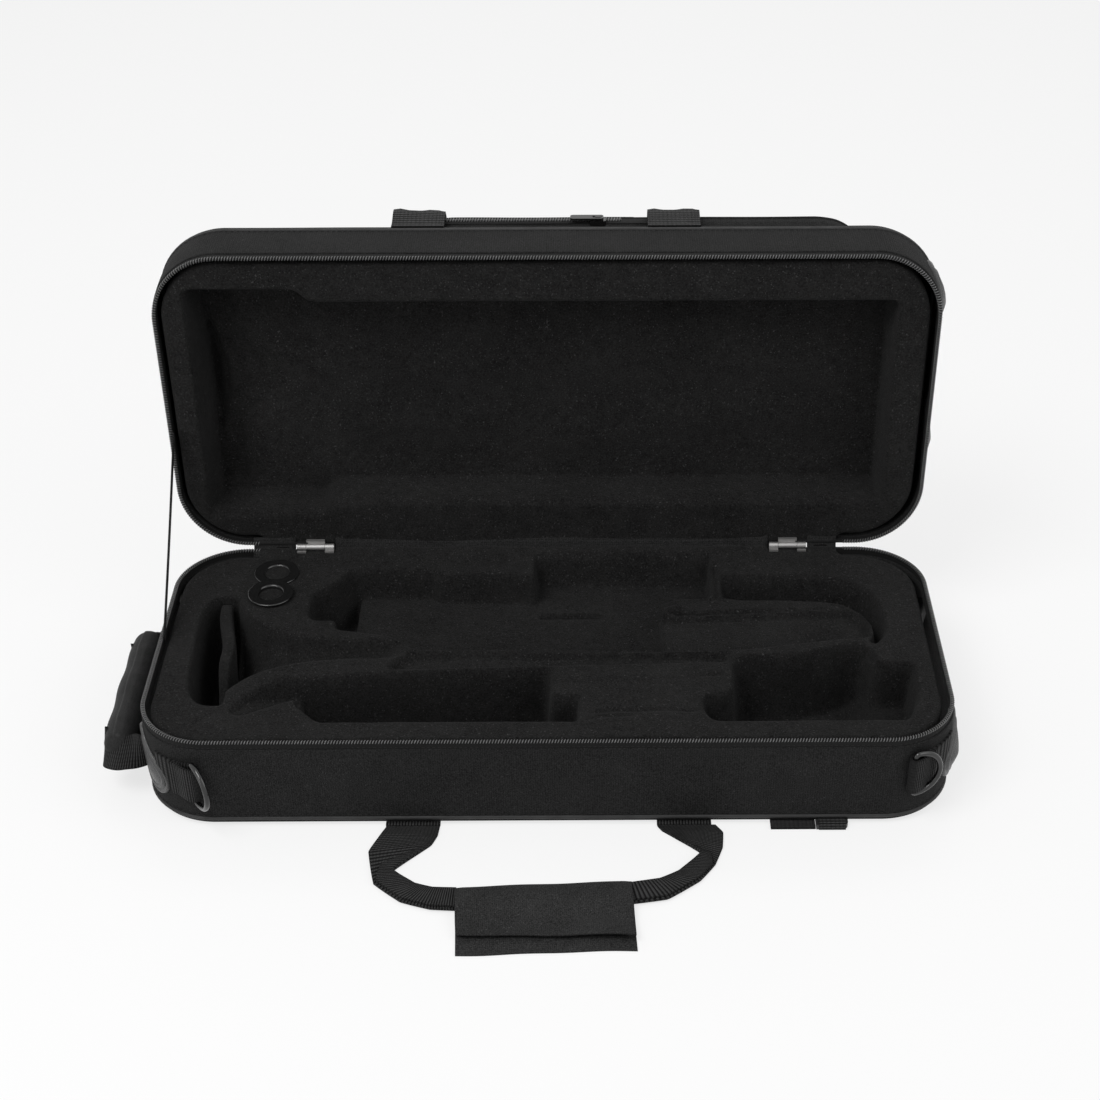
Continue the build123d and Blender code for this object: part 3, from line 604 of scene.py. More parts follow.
def coil_along(x, y, nx, ny, height, out=coil_out, up=coil_up):
    """A zip's coil: one thread wound round a line, a loop for every coil_pitch."""
    steps = 8
    line = np.column_stack([x, y, height])
    run = run_along(line)
    at = np.linspace(0, run[-1], int(run[-1] / coil_pitch * steps))
    phase = (at / coil_pitch * 2 * pi)[:, None]
    normal = points_at(at, run, np.column_stack([nx, ny, 0 * nx]))
    round_it = out * np.cos(phase) * normal + up * np.sin(phase) * np.array([0, 0, 1.0])
    return tube(points_at(at, run, line) + round_it, coil_wire, 5, round_it + 1e-6)


def stitches(points, outs, size=2.3, gap=1.3, thick=0.28):
    """A row of sewn stitches along points, each lying on the cloth that faces outs."""
    run = run_along(points)
    at = np.arange(size / 2, run[-1], size + gap)
    lines = points_at(at, run, points), points_at(at + 0.3, run, points), points_at(at, run, outs)
    bm = bmesh.new()
    bm.loops.layers.uv.new("UVMap")
    for here, next_to, out in zip(*lines):
        here, out = Vector(here), Vector(out).normalized()
        ahead = (Vector(next_to) - here).normalized()
        side = out.cross(ahead)
        turn = Matrix((ahead * (size / 2), side * thick, out * thick)).transposed().to_4x4()
        bmesh.ops.create_icosphere(
            bm, subdivisions=1, radius=1.0, matrix=Matrix.Translation(here) @ turn
        )
    return bm


# Linings

def rounded(points, radius):
    """A closed outline with its corners rounded, each as seven points."""
    points = np.array(points, float)
    made = []
    for before, here, after in zip(np.roll(points, 1, 0), points, np.roll(points, -1, 0)):
        back, on = before - here, after - here
        back_run, on_run = np.linalg.norm(back), np.linalg.norm(on)
        reach = min(radius, 0.48 * back_run, 0.48 * on_run)
        start, end = here + back * reach / back_run, here + on * reach / on_run
        for t in np.linspace(0, 1, 7):
            made.append((1 - t) ** 2 * start + 2 * t * (1 - t) * here + t**2 * end)
    return np.array(made)


def inside(outline, x, y):
    """How far points lie inside an outline, in millimetres; below 0 is outside."""
    found = np.full(x.shape, -50.0)
    low, high = outline.min(0) - 12, outline.max(0) + 12
    near = (x > low[0]) & (x < high[0]) & (y > low[1]) & (y < high[1])
    px, py = x[near, None], y[near, None]
    a, b = outline, np.roll(outline, -1, 0)
    ex, ey = b[:, 0] - a[:, 0], b[:, 1] - a[:, 1]
    t = np.clip(((px - a[:, 0]) * ex + (py - a[:, 1]) * ey) / (ex**2 + ey**2 + 1e-9), 0, 1)
    away = np.hypot(px - a[:, 0] - t * ex, py - a[:, 1] - t * ey).min(1)
    crossed = (a[:, 1] > py) != (b[:, 1] > py)
    left = px < ex * (py - a[:, 1]) / np.where(np.abs(ey) < 1e-9, 1e-9, ey) + a[:, 0]
    odd = (crossed & left).sum(1) % 2 == 1
    found[near] = np.where(odd, away, -away)
    return found


def soft_least(a, b, reach):
    """The lower of two heights, with a round where they meet."""
    share = np.clip(0.5 + 0.5 * (b - a) / reach, 0, 1)
    return b * (1 - share) + a * share - reach * share * (1 - share)


def pit(x, y, outline, depth_of, lip=4.5, draft=4.0, foot=6.0):
    """How deep a hollow is at each point, with a round lip and a round foot to its wall."""
    depth_of = np.maximum(depth_of, 0.1)
    run = np.maximum(inside(outline, x, y) + 0.55 * lip, 0)
    curve = lip - np.sqrt(np.maximum(lip**2 - np.minimum(run, lip) ** 2, 0))
    wall = curve + np.maximum(run - lip, 0) / tan(radians(draft))
    return np.maximum(soft_least(wall, depth_of, np.minimum(foot, depth_of)), 0)


def trough(middle, radius, off):
    """How deep a round form reaches at places off to its side, with its axis at depth middle."""
    return middle + np.sqrt(np.maximum(radius**2 - off**2, 0))


right_box_back = [(129, -28), (132, -20), (140, -16.5), (178, -15), (197, -8), (214, -1.5), (225, -3)]
right_box_foot = [(112, -91), (106, -76), (106, -63), (127, -57)]
hollows = {
    "bow": [(125, 84), (199, 82.5), (219, 77), (236, 64), (245, 48), (248, 28), (245, 8), (236, -4),
            (230, -1), (233, 10), (235, 20), (227, 37), (217, 46), (201, 53), (125, 55)],
    "left_body": [(-151, 93), (-89, 95), (-83, 88), (-14, 86), (-4, 40), (-4, -9), (-97, -8),
                  (-113, 8), (-157, 17), (-160, 66)],
    "middle_body": [(-24, 84), (120, 84), (120, 56), (84, 44), (84, -11), (-24, -10)],
    "shelf": [(66, 42), (84, 38), (224, 44), (236, 20), (234, 6), (226, 4), (206, 2), (140, -10),
              (66, -11)],
    "island": [(100, 58), (201, 58), (226, 40), (222, 38), (88, 34)],
    "slit": [(84, 37.5), (88, 43), (153, 44), (223, 46), (223, 43.5), (153, 39), (90, 36.5)],
    "valves": [(-14, 66), (-13, 105), (121, 105), (121, 66)],
    "tuning": [(-177, 28), (-178, 61), (-161, 75), (-152, 92), (-142, 92), (-142, 28)],
    "caps": [(-12, 60), (-12, 72), (41, 72), (41, 60)],
    "left_box": [(-175, -44), (-149, -39), (-116, -35), (-60, -31), (-3, -27.5), (3, -34), (3, -62),
                 (22, -62), (22, -91), (-157, -91), (-167, -80), (-176, -70)],
    "arm": [(-220, -80), (-209, -58), (-186, -42), (-149, -38), (-116, -35), (-113, -50),
            (-164, -60), (-187, -71), (-211, -84)],
    "right_box": [*right_box_back, (232, -13), (235, -26), (260, -27), (260, -60), (250, -91),
                  *right_box_foot],
    "saddle": [(-116, -32), (128, -24), (128, -10), (-98, -9)],
}


def base_depth(x, y):
    """How far the base's lining lies under its lip."""
    def hollow(name, depth_of, radius=6, **shape):
        return pit(x, y, rounded(hollows[name], radius), depth_of, **shape)

    body = 25 - 15.5 * smooth((x - 52) / 50)
    shelf = 9.0 + 9.0 * np.exp(-(((x - 197) / 14) ** 2 + ((y - 12) / 13) ** 2))
    arm_ramp = 3 + 17 * smooth((x + 222) / 58)
    right_floor = 37 + 19 * smooth((236 - x) / 26)
    bow_floor = 24 - 4 * smooth((30 - y) / 30)
    deep = np.maximum.reduce([
        hollow("left_body", 25.0, 7),
        hollow("middle_body", body, 5),
        hollow("shelf", shelf, 6, lip=3.0, draft=12),
        hollow("island", 3.6, 5, lip=3.0, draft=30),
        hollow("slit", 13.0, 2, lip=1.6, draft=12, foot=2),
        hollow("valves", 25.0, 3, lip=2.0),
        hollow("tuning", 48.0, 10, lip=3.0),
        hollow("caps", 33.0, 4, lip=2.0, draft=6, foot=3),
        hollow("left_box", 54.0, 5, lip=3.0),
        hollow("arm", arm_ramp, 5, lip=4.5, draft=20),
        hollow("right_box", right_floor, 7, lip=3.2, foot=9),
        hollow("saddle", 6.0, 5, lip=4.0, draft=26),
        hollow("bow", bow_floor, 8, lip=3.6, draft=12, foot=9),
    ])
    off = np.abs(y - bell_y)
    flare = bell_tube + (0.86 * bell_radius - bell_tube) * np.exp(-(x - bell_right) / bell_flare)
    soft_edge = smooth((flare + 4 - off) / 7)
    ends = span(x, bell_right - 3, -100, 4, 26)
    deep = np.maximum(deep, trough(lining_top - bell_z, flare, off) * soft_edge * ends)
    slanted = x + 2.5 * (y - bell_y) / bell_radius
    round_end = 10 * (off / bell_radius) ** 6
    slot = span(slanted, bell_left + round_end - 3, bell_right + 1.6, 7, 3.2)
    disc = trough(lining_top - bell_z, bell_radius, off)
    deep = np.maximum(deep, disc * slot * smooth((bell_radius + 4 - off) / 5))
    crease = 0.0
    for line_y, start, stop in ((-81.5, 26, 108), (-86.5, 30, 62), (-40, 100, 127)):
        across = peak((y - line_y - 0.02 * (x - start)) / 1.4)
        crease = crease + 1.6 * span(x, start, stop, 8, 12) * across
    tick = 1.8 * peak((x - 41) / 1.4) * span(y, 36, 66, 4, 6)
    notch = 7 * peak((x - 123) / 2.4) * span(y, 54, 100, 6, 6)
    hump = -1.2 * span(x, 30, 98, 14, 14) * smooth((-28 - y) / 12)
    waves = 0.45 * ripple(x, y, 70, 1) + 0.3 * ripple(x, y, 26, 4)
    return deep + crease + tick + notch + hump + waves


def lid_depth(x, y):
    """How far the lid's lining lies behind its lip, with the lid closed."""
    recess = rounded(
        [(-257, -91.5), (-177, -91.5), (-168, -82), (252, -82), (252, 82), (-164, 82),
         (-171, 91.5), (-257, 91.5)], 7,
    )
    deep = pit(x, y, recess, 32.0, lip=2.8, draft=6.0, foot=6.0)
    off = np.abs(y - bell_y)
    behind = np.maximum(x - bell_left - 4, 0)
    flare = bell_tube + (bell_radius - bell_tube) * np.exp(-behind / bell_flare)
    bell = trough(bell_z - lid_lining_face, flare, off)
    deep = np.maximum(deep, bell * span(x, bell_left - 3, -196, 3, 20))
    low_end = span(x, -256, -222, 4, 12) * smooth((86 - np.abs(y)) / 8)
    cone = smooth((60 * (-172 - x) / 62 - off) / 26) * smooth((-160 - x) / 60)
    deep = deep + 6 * np.maximum(cone, low_end) * span(deep, 20, 44, 10, 8)
    undercut = 2.2 * peak(inside(recess, x, y) / 1.5) * smooth((y - 60) / 10)
    waves = 0.6 * ripple(x, y, 90, 2) + 0.3 * ripple(x, y, 31, 5)
    return np.minimum(deep + undercut + waves, lid_top - lid_lining_face - 3)


def lining(depth_at, face, sign, back_reach, back_rise):
    """A plush lining, as a fine sheet that sinks into every hollow and rises to the hinge line."""
    half_x, half_y = length / 2 - lip_inset, depth / 2 - lip_inset
    columns, rows = round(2 * half_x / grid_step), round(2 * half_y / grid_step)
    radius = corner_radius - lip_inset

    def away(x, y):
        """How far points lie past the middle of their round corner, and past the outline."""
        past = np.array([np.abs(x) - half_x, np.abs(y) - half_y]) + radius
        beyond = np.maximum(past, 0)
        return beyond, np.hypot(*beyond) + np.minimum(past.max(0), 0) - radius

    def place(u, v):
        x, y = (2 * u - 1) * half_x, (2 * v - 1) * half_y
        beyond, out = away(x, y)
        pull = np.maximum(out, 0) * beyond / np.maximum(np.hypot(*beyond), 1e-6)
        x, y = x - np.sign(x) * pull[0], y - np.sign(y) * pull[1]
        edge = np.clip(1 + away(x, y)[1] / lip_round, 0, 1)
        fall = lip_round * (1 - np.sqrt(np.maximum(1 - edge**2, 0)))
        height = face - sign * depth_at(x, y)
        back = smooth((y - half_y + 16) / 16) * smooth((224 - np.abs(x)) / 12)
        rise = back_rise * (1 - 0.6 * smooth((20 - np.abs(np.abs(x) - 180)) / 4))
        height = height - sign * (fall * (1 - back) - rise * back)
        return np.column_stack([x - 2.2 * smooth((x - 190) / 70), y + back_reach * back, height])

    bm = surface(place, columns, rows, (1, 1))
    flat = [f for f in bm.faces if f.calc_area() < 0.02 * grid_step**2]
    bmesh.ops.delete(bm, geom=flat, context="FACES")
    bmesh.ops.remove_doubles(bm, verts=bm.verts, dist=0.15)
    bmesh.ops.smooth_vert(
        bm, verts=[v for v in bm.verts if not v.is_boundary], factor=0.5,
        use_axis_x=True, use_axis_y=True, use_axis_z=True,
    )
    rim_edges = [edge for edge in bm.edges if edge.is_boundary]
    made = bmesh.ops.extrude_edge_only(bm, edges=rim_edges)["geom"]
    skirt = [v for v in made if isinstance(v, bmesh.types.BMVert)]
    bmesh.ops.translate(bm, verts=skirt, vec=(0, 0, -sign * lip_drop))
    return bm


base_lining = piece(
    "lining_of_base", lining(base_depth, lining_top, 1, 6.6, 3.3), lining_plush, "base",
    ["base_lining"],
)
lid_lining = piece(
    "lining_of_lid", lining(lid_depth, lid_lining_face, -1, 5.6, 1.4), lining_plush, "lid",
    ["lid_lining"], lid_open, True,
)


def bell_strip():
    """The padded strip that stands in the bell's slot."""
    low, high = box_mm("bell_rim_strip")
    middle = (low + high) / 2

    def place(u, v):
        angle = 2 * pi * v
        tip = np.minimum(u, 1 - u) / 0.025
        end = np.sqrt(np.maximum(1 - np.maximum(1 - tip, 0) ** 2, 0))
        top = high.z - 1.0 - 1.5 * np.sin(2.3 * u) - 22 * smooth((0.3 - u) / 0.3)
        foot = low.z + 3
        side = np.sign(np.cos(angle)) * np.abs(np.cos(angle)) ** 0.4
        rise = np.sign(np.sin(angle)) * np.abs(np.sin(angle)) ** 0.3
        half = (4.9 - 1.6 * smooth((0.35 - u) / 0.3) + 0.2 * np.sin(17 * u)) * end
        lean = 1.0 * rise - 8.5 * smooth((u - 0.4) / 0.6) + 0.3 * np.sin(11 * u + 2 * rise)
        return np.column_stack([
            middle.x + 2.8 + lean + half * side,
            low.y + 3 + (high.y - low.y - 4) * u,
            (top + foot) / 2 + end * rise * (top - foot) / 2,
        ])

    return sealed(surface(place, 90, 40, (104, 100), True))


strip = piece(
    "strip_beside_bell", bell_strip(), lining_plush, "base", ["bell_rim_strip"],
)


# Shells

def wall_waves(s, height):
    """The cloth on a wall is not quite flat."""
    return 0.35 * ripple(s, height * 2, 120, 3) * smooth((height - 8) / 10)


def level_threads(bm):
    """Lays the weave straight along x and y wherever a shape faces up or down."""
    uv = bm.loops.layers.uv.active
    bm.normal_update()
    for face in bm.faces:
        if abs(face.normal.z) > 0.8:
            for loop in face.loops:
                loop[uv].uv = loop.vert.co.xy
    return bm


def shell_profile(foot, edge, edge_radius):
    """Inset and height from the middle of a shell's panel out and up its wall to the rolled edge."""
    sign = 1 if edge > foot else -1
    wall_low, wall_high = foot + sign * edge_radius, edge - sign * rolled_edge
    panel = [(depth / 2 * (1 - t), foot) for t in (0, 0.25, 0.5, 0.75)]
    bend = arc(edge_radius, edge_radius, wall_low, -sign * pi / 2, -sign * pi, 8)
    wall = [
        (-0.5 * sin(pi * t), wall_low + (wall_high - wall_low) * t) for t in np.linspace(0.06, 1, 16)
    ]
    roll = arc(rolled_edge, rolled_edge, wall_high, sign * (pi - 0.3), sign * pi / 2, 4)
    inner = [(rolled_edge + 1.6, edge), (rolled_edge + 1.9, edge - sign * 5)]
    return panel + bend + wall + roll + inner


base_wall = shell_profile(shell_low.z, base_edge, floor_edge_radius)
piece(
    "shell_of_base", level_threads(rim.ring(base_wall, 560, bulge=wall_waves)), cloth, "base",
    ["base_shell"], flip=True,
)
lid_wall = shell_profile(lid_top, lid_foot, lid_edge_radius)
lid_sheet = rim.ring(lid_wall, 560, bulge=lambda s, h: 0.35 * ripple(s, h * 2, 120, 6))
piece(
    "shell_of_lid", level_threads(lid_sheet), cloth, "lid", ["lid_shell"], lid_open,
)


# Zip round the opening, piping and seams on the walls

def wall_seam(name, body, turn, s, inset, height, size=2.3, gap=1.3):
    """A row of stitches on a wall, at places s along the rim."""
    x, y, nx, ny = rim.at(s, inset)
    points, outs = np.column_stack([x, y, 0 * s + height]), np.column_stack([nx, ny, 0 * s])
    piece(name, stitches(points, outs, size, gap), thread, body, (), turn)


def zip_side(body, foot, top, turn, coil_z):
    """Half of the zip, from one end at the back, round the front, to the other."""
    sign = 1 if top > foot else -1
    half = tape_thickness / 2
    middle = tape_inset + half
    core = coil_z + sign * coil_core
    profile = [(middle - half, foot), (middle - half - 0.15, (foot + top) / 2), (middle - 0.85, top),
               (middle - 0.95, core - sign * 0.3), (middle - 0.6, core), (middle + 0.6, core),
               (middle + 0.95, core - sign * 0.3), (middle + half, top), (middle + half, foot)]
    reach = back_middle - tape_end_x
    tape = rim.ring(profile, 620, -reach, reach)
    piece(f"zip_tape_of_{body}", tape, tape_cloth, body, [f"{body}_zip_tape"], turn, sign < 0)
    s = np.linspace(zip_end_x - back_middle, back_middle - zip_end_x, 1200)
    x, y, nx, ny = rim.at(s, middle)
    wound = coil_along(x, y, nx, ny, 0 * s + coil_z)
    piece(f"zip_coil_of_{body}", wound, coil, body, [f"{body}_zip_teeth"], turn)
    wall_seam(f"zip_seam_of_{body}", body, turn, s, tape_inset - 0.2, foot + sign * 4.7)


coil_z = (teeth_foot + base_rim) / 2
zip_side("base", base_edge - 3.5, teeth_foot, None, coil_z)
zip_side("lid", lid_foot + 3.5, 2 * hinge_z - teeth_foot, lid_open, 2 * hinge_z - coil_z)
all_round = np.linspace(0, rim.total, 1200)
wall_seam("piping_seam_of_base", "base", None, all_round, -0.35, 9.6, 2.6, 1.4)
wall_seam("piping_seam_of_lid", "lid", lid_open, all_round, -0.75, hinge_z + 43.2, 2.6, 1.4)


# Patches

def teardrop(count=96):
    """Outline of a padded patch, narrow at its top."""
    foot_radius, tip_radius, size = 13.5, 5.0, 52.0
    apart = size - foot_radius - tip_radius
    lean = asin((foot_radius - tip_radius) / apart)
    tip = arc(tip_radius, 0, size / 2 - tip_radius, lean, pi - lean, 16)
    foot = arc(foot_radius, 0, foot_radius - size / 2, pi - lean, 2 * pi + lean, 40)
    outline = tip + foot + tip[:1]
    run = run_along(outline)
    return points_at(np.linspace(0, run[-1], count + 1), run, outline)


def patch(s_middle, height, lean, thickness):
    """A domed patch with a double bead at its edge, laid on the case's wall."""
    outline = teardrop()
    profile = np.array([
        (0.0, -0.6), (0.0, 1.0), (0.4, 2.0), (1.2, 2.4), (2.0, 2.0), (2.5, 1.4), (3.0, 2.0), (3.9, 2.7),
        (4.8, 2.6), (5.4, 2.1), (6.2, 2.5), (8.2, 3.0), (10.4, 3.4), (12.4, 3.6),
    ])
    inset, height_out = profile[-1]
    profile[2:, 1] += (thickness - height_out) * profile[2:, 0] / inset
    turn = radians(lean)

    def place(u, v):
        a, b = corners_at(outline, u).T
        inward, out = corners_at(profile, v).T
        shrink = 1 - inward / 13.0
        a, b = a * shrink, (b + 8) * shrink - 8
        along, up = a * cos(turn) - b * sin(turn), a * sin(turn) + b * cos(turn)
        x, y, _, _ = rim.at(s_middle + along, -out)
        return np.column_stack([x, y, height + up])

    return sealed(surface(place, len(outline) - 1, len(profile) - 1, (140, 26), True))


patch_height, patch_lean = 40.0, -42.0
patch_thickness = {"left": 3.6, "right": 7.0}
patch_turn = {"left": radians(60), "right": radians(80)}
for side in ("left", "right"):
    for back_name in ("front", "back"):
        s_middle = front_corner + corner_radius * patch_turn[side]
        shape = patch(s_middle, patch_height, patch_lean, patch_thickness[side])
        if back_name == "back":
            shape = mirrored(shape, (0, 1, 0))
        if side == "left":
            shape = mirrored(shape)
        made = piece(f"patch_{side}_{back_name}", shape, hide, "base",
                     [f"{side}_patch_{back_name}"])
right_wall = rim.stops[2] + (depth / 2 - corner_radius)
for back_name, y in (("front", -74.0), ("back", 37.0)):
    shape = patch(right_wall + y, 2 * hinge_z - patch_height, 90.0, patch_thickness["right"])
    made = piece(f"patch_lid_{back_name}", shape, hide, "lid",
                 [f"lid_patch_{back_name}"], lid_open)


# Strap rings and their webbing

def ring_strap(side):
    """Webbing from under a front patch, round the ring's bar and back on itself."""
    x, y, z = (value / MM for value in joints[f"ring_{side}"]["pos_m"])
    turn = atan2(abs(x) - (length / 2 - corner_radius), -y - (depth / 2 - corner_radius))
    bar_out, turn_radius = 4.0, 3.15
    far = corner_radius * (patch_turn[side] - turn) - 12
    path = [(far, 0.9), (far * 0.7, 1.0), (far * 0.4, 1.0), (8, 0.95), (3, 0.9)]
    path += arc(turn_radius, 0, bar_out, -pi / 2, -3 * pi / 2, 7)
    path += [(4, bar_out + 2.4), (8, bar_out + 0.6), (12, bar_out - 1.1), (17, 2.7)]
    s_ring = front_corner + corner_radius * turn

    def place(u, v):
        a, out = spline(path, u).T
        step = unit(spline(path, np.minimum(u + 0.004, 1)) - spline(path, np.maximum(u - 0.004, 0)))
        angle = v * 2 * pi
        flat = np.clip(np.cos(angle) * 1.4, -1, 1) * ring_strap_width / 2
        thick = np.clip(np.sin(angle) * 2.5, -1, 1) * webbing / 2
        x, y, _, _ = rim.at(s_ring + a + step[:, 1] * thick, step[:, 0] * thick - out)
        return np.column_stack([x, y, z + flat])

    return sealed(surface(place, 80, 20, (far + 27, 60), True))


piece("ring_strap_right", ring_strap("right"), ring_webbing, "base", ["ring_webbing_right"])
piece("ring_strap_left", mirrored(ring_strap("left")), ring_webbing, "base",
      ["ring_webbing_left"])


# End handle

def end_roll():
    """The padded roll, with the edge of its cover lapped along it."""
    low, high = box_mm("end_handle_grip")
    middle = (low + high) / 2
    half, radius = (high.y - low.y) / 2, (high.x - low.x) / 2

    def place(u, v):
        t = 2 * v - 1
        end = np.sqrt(np.maximum(1 - np.clip((np.abs(t) - 0.9) / 0.1, 0, 1) ** 2, 0))
        angle = 2 * pi * u
        lap = 1.0 * smooth(u * 14) * smooth((0.30 - u) / 0.02)
        waist = 0.5 * np.cos(t * pi * 3)
        r = (radius - 1.4 + lap + waist + 0.25 * ripple(60 * u, 60 * t, 33, 2)) * (0.25 + 0.75 * end)
        bow = -1.2 * (1 - t**2)
        return np.column_stack([
            middle.x + bow + r * np.cos(angle), middle.y + t * half, middle.z + r * np.sin(angle),
        ])

    return sealed(surface(place, 96, 60, (82, 130), True))


roll = piece("roll_of_end_handle", end_roll(), roll_hide, "end_handle",
             ["end_handle_grip"])


def end_strap(sign):
    """Webbing from the wall to one end of the roll."""
    low, high = box_mm("end_handle_grip")
    x, _, z = (low + high) / 2
    roll_end = high.y if sign > 0 else low.y
    wall = sign * 82.0
    path = [(-278.5, wall, z + 4), (-283, wall + sign, z + 4), (x + 9, roll_end + sign * 3.5, z + 2),
            (x + 2, roll_end + sign * 2.5, z), (x - 5, roll_end - sign * 1.5, z - 2),
            (x - 10, roll_end - sign * 6, z - 3), (x - 12, roll_end - sign * 12, z - 3)]
    lean = -0.75 * sign
    across = [(0, 0, 1), (0, 0.3 * lean, 1), (0.2, lean, 1), (0.3, lean, 1), (0.3, lean, 1),
              (0.2, lean, 1), (0.1, 0.5 * lean, 1)]
    return ribbon(path, across, end_strap_width)


end_straps = piece(
    "straps_of_end_handle", joined(end_strap(-1), end_strap(1)), ring_webbing, None,
    ["end_handle_webbing"],
)
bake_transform(end_straps)


# Carrying handles, drawn as x and the distance from their hinge, with the height over it

handle_sides = {
    "left": {
        "outer": [(-111.5, 0), (-115, 8), (-122, 26), (-116, 57), (-97, 75), (-77, 82.5), (-60, 84)],
        "inner": [(-75, 0), (-76, 9), (-80, 19), (-104, 45), (-88, 59.5), (-76, 64), (-60, 65)],
        "flap": [(-86, 22), (-112, 40), (-114.5, 56), (-96, 73.5), (-76.5, 81), (-60, 82.5)],
    },
    "right": {
        "outer": [(115, 0), (120, 8), (119, 22), (113, 40), (102, 56.5), (80, 74), (48, 80)],
        "inner": [(75, 0), (78, 5), (85, 11), (104, 29), (88, 48.5), (75, 56.5), (48, 62)],
        "flap": [(90, 17), (110, 30), (111, 42), (100.5, 56), (79, 73), (48, 78.5)],
    },
}


def folded(points, t):
    """A line through points with its bends kept sharp, as folds in webbing are."""
    return 0.8 * corners_at(points, t) + 0.2 * spline(points, t)


def strap_between(edge_a, edge_b, low, high):
    """A flat strap between two curves, from height low to high; both may vary along it."""
    along = np.linspace(0, 1, 60)
    run = run_along((spline(edge_a, along) + spline(edge_b, along)) / 2)[-1]

    def place(u, v):
        a, b = folded(edge_a, u), folded(edge_b, u)
        angle = v * 2 * pi
        share = 0.5 + 0.5 * np.clip(np.cos(angle) * 1.35, -1, 1)
        rise = 0.5 + 0.5 * np.clip(np.sin(angle) * 2.5, -1, 1)
        line = a + (b - a) * share[:, None]
        foot, top = corners_at(np.transpose([low, high]), u).T
        sag = 0.4 * np.sin(share * pi) * np.sin(u * 9)
        return np.column_stack([line, foot + (top - foot) * rise + sag * (rise - 0.2)])

    return sealed(surface(place, 80, 24, (run, 76), True))


def handle_straps():
    """The webbing of a handle: on each side a strap and a flap folded over it."""
    parts = []
    for curves in handle_sides.values():
        parts.append(strap_between(curves["outer"], curves["inner"], [0, 0, 0, 0.6, 1.2, 1.6, 1.8],
                                   [webbing, webbing, webbing, 2.3, 2.9, 3.3, 3.5]))
        parts.append(strap_between(curves["flap"], curves["inner"][2:], [1.8, 2.3, 2.7, 3.2, 3.5, 3.7],
                                   [3.0, 3.8, 4.3, 4.7, 5.0, 5.2]))
    return joined(*parts)


wrap_profile = [
    (121.5, 0.7), (112, 0.6), (100, 0.6), (88, 0.6), (76, 0.6), (66, 0.7), (62.4, 1.8), (62.0, 3.8),
    (64.5, 6.0), (70, 7.4), (77, 8.0), (84, 7.5), (90, 6.3), (95, 5.1), (100, 4.5), (105, 4.3), (110, 4.5),
]
wrap_left, wrap_right = -61.0, 56.0


def wrap_point(u, v):
    """A point of the wrap: u runs along the handle, v from its lower free edge round to its upper one."""
    line = spline(wrap_profile, v)
    upper, lower = smooth((v - 0.78) / 0.22), smooth((0.25 - v) / 0.25)
    x = wrap_left + (wrap_right - wrap_left) * u + 3.0 * (line[:, 0] - 62) / 60
    skew = (6.0 - 10.0 * upper - 3.0 * lower) * (0.5 - u)
    sag = 0.35 * ripple(x, 60 * v, 60, 3) + 0.5 * (upper + lower) * np.sin(u * 7 + 4 * v)
    pinch = 1 - 0.1 * (smooth((0.05 - u) / 0.05) + smooth((u - 0.95) / 0.05)) * (1 - upper - lower)
    curl = 2.6 * upper * smooth((u - 0.45) / 0.5) + 0.5 * upper * np.sin(9 * u)
    height = line[:, 1] * pinch + np.maximum(sag, -0.3) * smooth((line[:, 1] - 1) / 2) + curl
    edge = 0.6 * (upper + lower) * np.sin(5 * u + 1) + 0.35 * np.sin(13 * u)
    return np.column_stack([x, line[:, 0] + skew + edge, np.maximum(height, 0.55)])


def handle_wrap():
    """Cloth folded round the webbing, with its two free edges lying one on the other."""
    bm = surface(wrap_point, 90, 96, (wrap_right - wrap_left, run_along(wrap_profile)[-1]))
    bmesh.ops.recalc_face_normals(bm, faces=bm.faces)
    return bm


def wrap_stitches():
    """Seams along both free edges of the wrap and two at each of its ends."""
    rows = []
    along, over = np.linspace(0.02, 0.98, 200), np.linspace(0.45, 0.99, 160)
    lines = [(along, np.full(200, v)) for v in (0.965, 0.03)]
    lines += [(np.full(160, u), over) for u in (0.03, 0.055, 0.97, 0.945)]
    for us, vs in lines:
        ahead = wrap_point(us, np.minimum(vs + 0.005, 1)) - wrap_point(us, vs - 0.005)
        outs = unit(np.column_stack([0 * us, -ahead[:, 2], ahead[:, 1]]))
        outs *= np.where(vs > 0.4, -1, 1)[:, None]
        rows.append(stitches(wrap_point(us, vs) + 0.75 * outs, outs, 2.2, 1.2, 0.25))
    return joined(*rows)


def thickened(obj, thickness):
    wall = obj.modifiers.new("cloth", "SOLIDIFY")
    wall.thickness = thickness * MM
    wall.offset = 0.0


base_hinge = Vector(joints["base_handle"]["pos_m"]) / MM
lid_hinge = Vector(joints["lid_handle"]["pos_m"]) / MM
on_floor = (
    Matrix.Translation((0, base_hinge.y, base_hinge.z - webbing / 2)) @ Matrix.Scale(-1, 4, (0, 1, 0))
)
behind_lid = (
    Matrix.Translation((0, lid_hinge.y - webbing / 2, lid_hinge.z))
    @ Matrix(((1, 0, 0, 0), (0, 0, 1, 0), (0, -1, 0, 0), (0, 0, 0, 1)))
)
for name, place, flip in (("base", on_floor, True), ("lid", behind_lid, False)):
    body = f"{name}_handle"
    piece(f"straps_of_{name}_handle", handle_straps(), strap, body,
          [f"{name}_handle_webbing"], place, flip)
    wrap = piece(f"wrap_of_{name}_handle", handle_wrap(), wrap_cloth, body,
                 [f"{name}_handle_wrap"], place)
    thickened(wrap, wrap_thickness)
    piece(f"wrap_seams_of_{name}_handle", wrap_stitches(), thread, body, (), place, flip)


# Lid pocket

